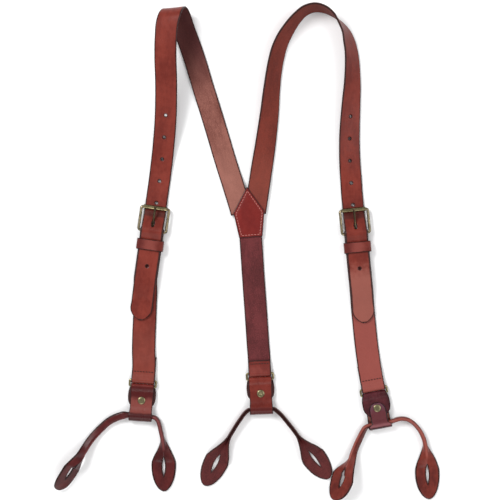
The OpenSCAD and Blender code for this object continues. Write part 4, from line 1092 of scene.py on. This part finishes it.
right_unit = both_legs(right_hang, (
    (-17.2, -5, 5.8, 30, 0), (-20, -9.8, 5.6, 38, 0), (-23, -16, 5.5, 44, 0), (-26.8, -24, 5.6, 46, 0),
    (-29.8, -31.5, 6, 46, 0.04), (-32, -38, 7, 44, 0.22), (-34.5, -45, 8.6, 42, 0.5),
    (-38.5, -52.5, 9.8, 38, 0.82), (-42, -59.5, 9.8, 34, 1), (-44.5, -67, 9, 31, 1),
    (-47.4, -74, 7.6, 28, 1, 0.92), (-50, -79.5, 6, 25, 1, 0.75), (-52, -83.3, 4.6, 22, 1, 0.54),
    (-53.2, -85.6, 3.6, 20, 1, 0.36), (-53.8, -86.8, 3.1, 20, 1, 0.22)), (
    (18, 4.2, 6.2), (24.5, 5.6, 5.5),
    (31, 4.8, 5), (37, 1.5, 4.7), (43.5, -5, 4.6), (48.2, -12.5, 4.5), (51, -19.5, 4.5),
    (52.3, -25.5, 4.3, 0, 0.04), (53.1, -31.5, 3.2, 0, 0.3), (53.8, -37.5, 2, 0, 0.62),
    (54.3, -44, 1.2, 0, 0.9), (54.6, -51, 1.1, 0, 1), (54.9, -58, 1.1, 0, 1), (55.2, -65, 1.1, 0, 1),
    (55.7, -71.5, 1.1, 0, 1, 0.93), (56.4, -77.5, 1.1, 0, 1, 0.77), (57, -82, 1.1, 0, 1, 0.55),
    (57.5, -85, 1.1, 0, 1, 0.36), (57.8, -86.8, 1.1, 0, 1, 0.22)), 25, 0)
button_strap("left", left_unit, 1, 13.0, ((58, 17, 18), (86, 29, 28)), (40, 16, 15), (4.6, 3))
button_strap("right", right_unit, 1, 61.0, ((80, 28, 24), (116, 46, 36)), (44, 18, 16), (4.4, 3.2))
button_strap("back", back_unit, -1, 19.0, ((72, 28, 27), (96, 42, 38)), (54, 26, 24), (3.8, 2.8))

# ---------- metal ----------
frame_metal = brass("frame_brass")
# the prong's brass is painted darker than the frame's: painted shade
shaded_prong_metal = brass("prong_brass", (44, 35, 27), (104, 90, 68), 1.0, 0.4)
roller_metal = brass("roller_brass", (74, 66, 42), (168, 156, 118), 0.8, 0.3)
ring_metal = brass("ring_brass", (78, 72, 48), (170, 158, 120))
metals = [(which + "_ring", ring_metal) for which in ("left", "right", "back")]
for side in ("left", "right"):
    metals += [(side + "_buckle_frame", frame_metal), (side + "_buckle_prong", shaded_prong_metal),
               (side + "_buckle_roller", roller_metal)]
for node, mat in metals:
    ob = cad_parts[node]
    ob.data.materials.clear()
    ob.data.materials.append(mat)

# ---------- floor and light ----------
floor_half, floor_z = 3, -0.0004  # metres
square = ((-1, -1), (1, -1), (1, 1), (-1, 1))
me = bpy.data.meshes.new("floor")
me.from_pydata([(x * floor_half, y * floor_half, floor_z) for x, y in square], [], [(0, 1, 2, 3)])
floor = bpy.data.objects.new("floor", me)
scene.collection.objects.link(floor)
paper = Tree("floor_paper")
paper.shader.inputs["Base Color"].default_value = (0.93, 0.93, 0.935, 1)
paper.shader.inputs["Roughness"].default_value = 0.9
paper.shader.inputs["Specular IOR Level"].default_value = 0.1
me.materials.append(paper.mat)


def lamp(name, where, target, size, power, colour=(1, 1, 1)):
    data = bpy.data.lights.new(name, "AREA")
    data.shape, data.size, data.energy, data.color = "DISK", size, power, colour
    ob = bpy.data.objects.new(name, data)
    ob.location = where
    ob.rotation_mode = "QUATERNION"
    ob.rotation_quaternion = (Vector(target) - Vector(where)).to_track_quat("-Z", "Y")
    scene.collection.objects.link(ob)


lamp("key", (-1.1, 0.9, 1.5), (0, -0.04, 0), 0.9, 34)
lamp("fill", (1.3, 0.2, 1.3), (0, -0.04, 0), 1.4, 13)
lamp("front", (-0.2, -1.5, 1.2), (0, -0.04, 0), 1.2, 11)
world = bpy.data.worlds.new("studio")
world.use_nodes = True
world.node_tree.nodes["Background"].inputs[0].default_value = (1, 1, 1, 1)
world.node_tree.nodes["Background"].inputs[1].default_value = 0.46
scene.world = world
scene.view_settings.view_transform = "Standard"
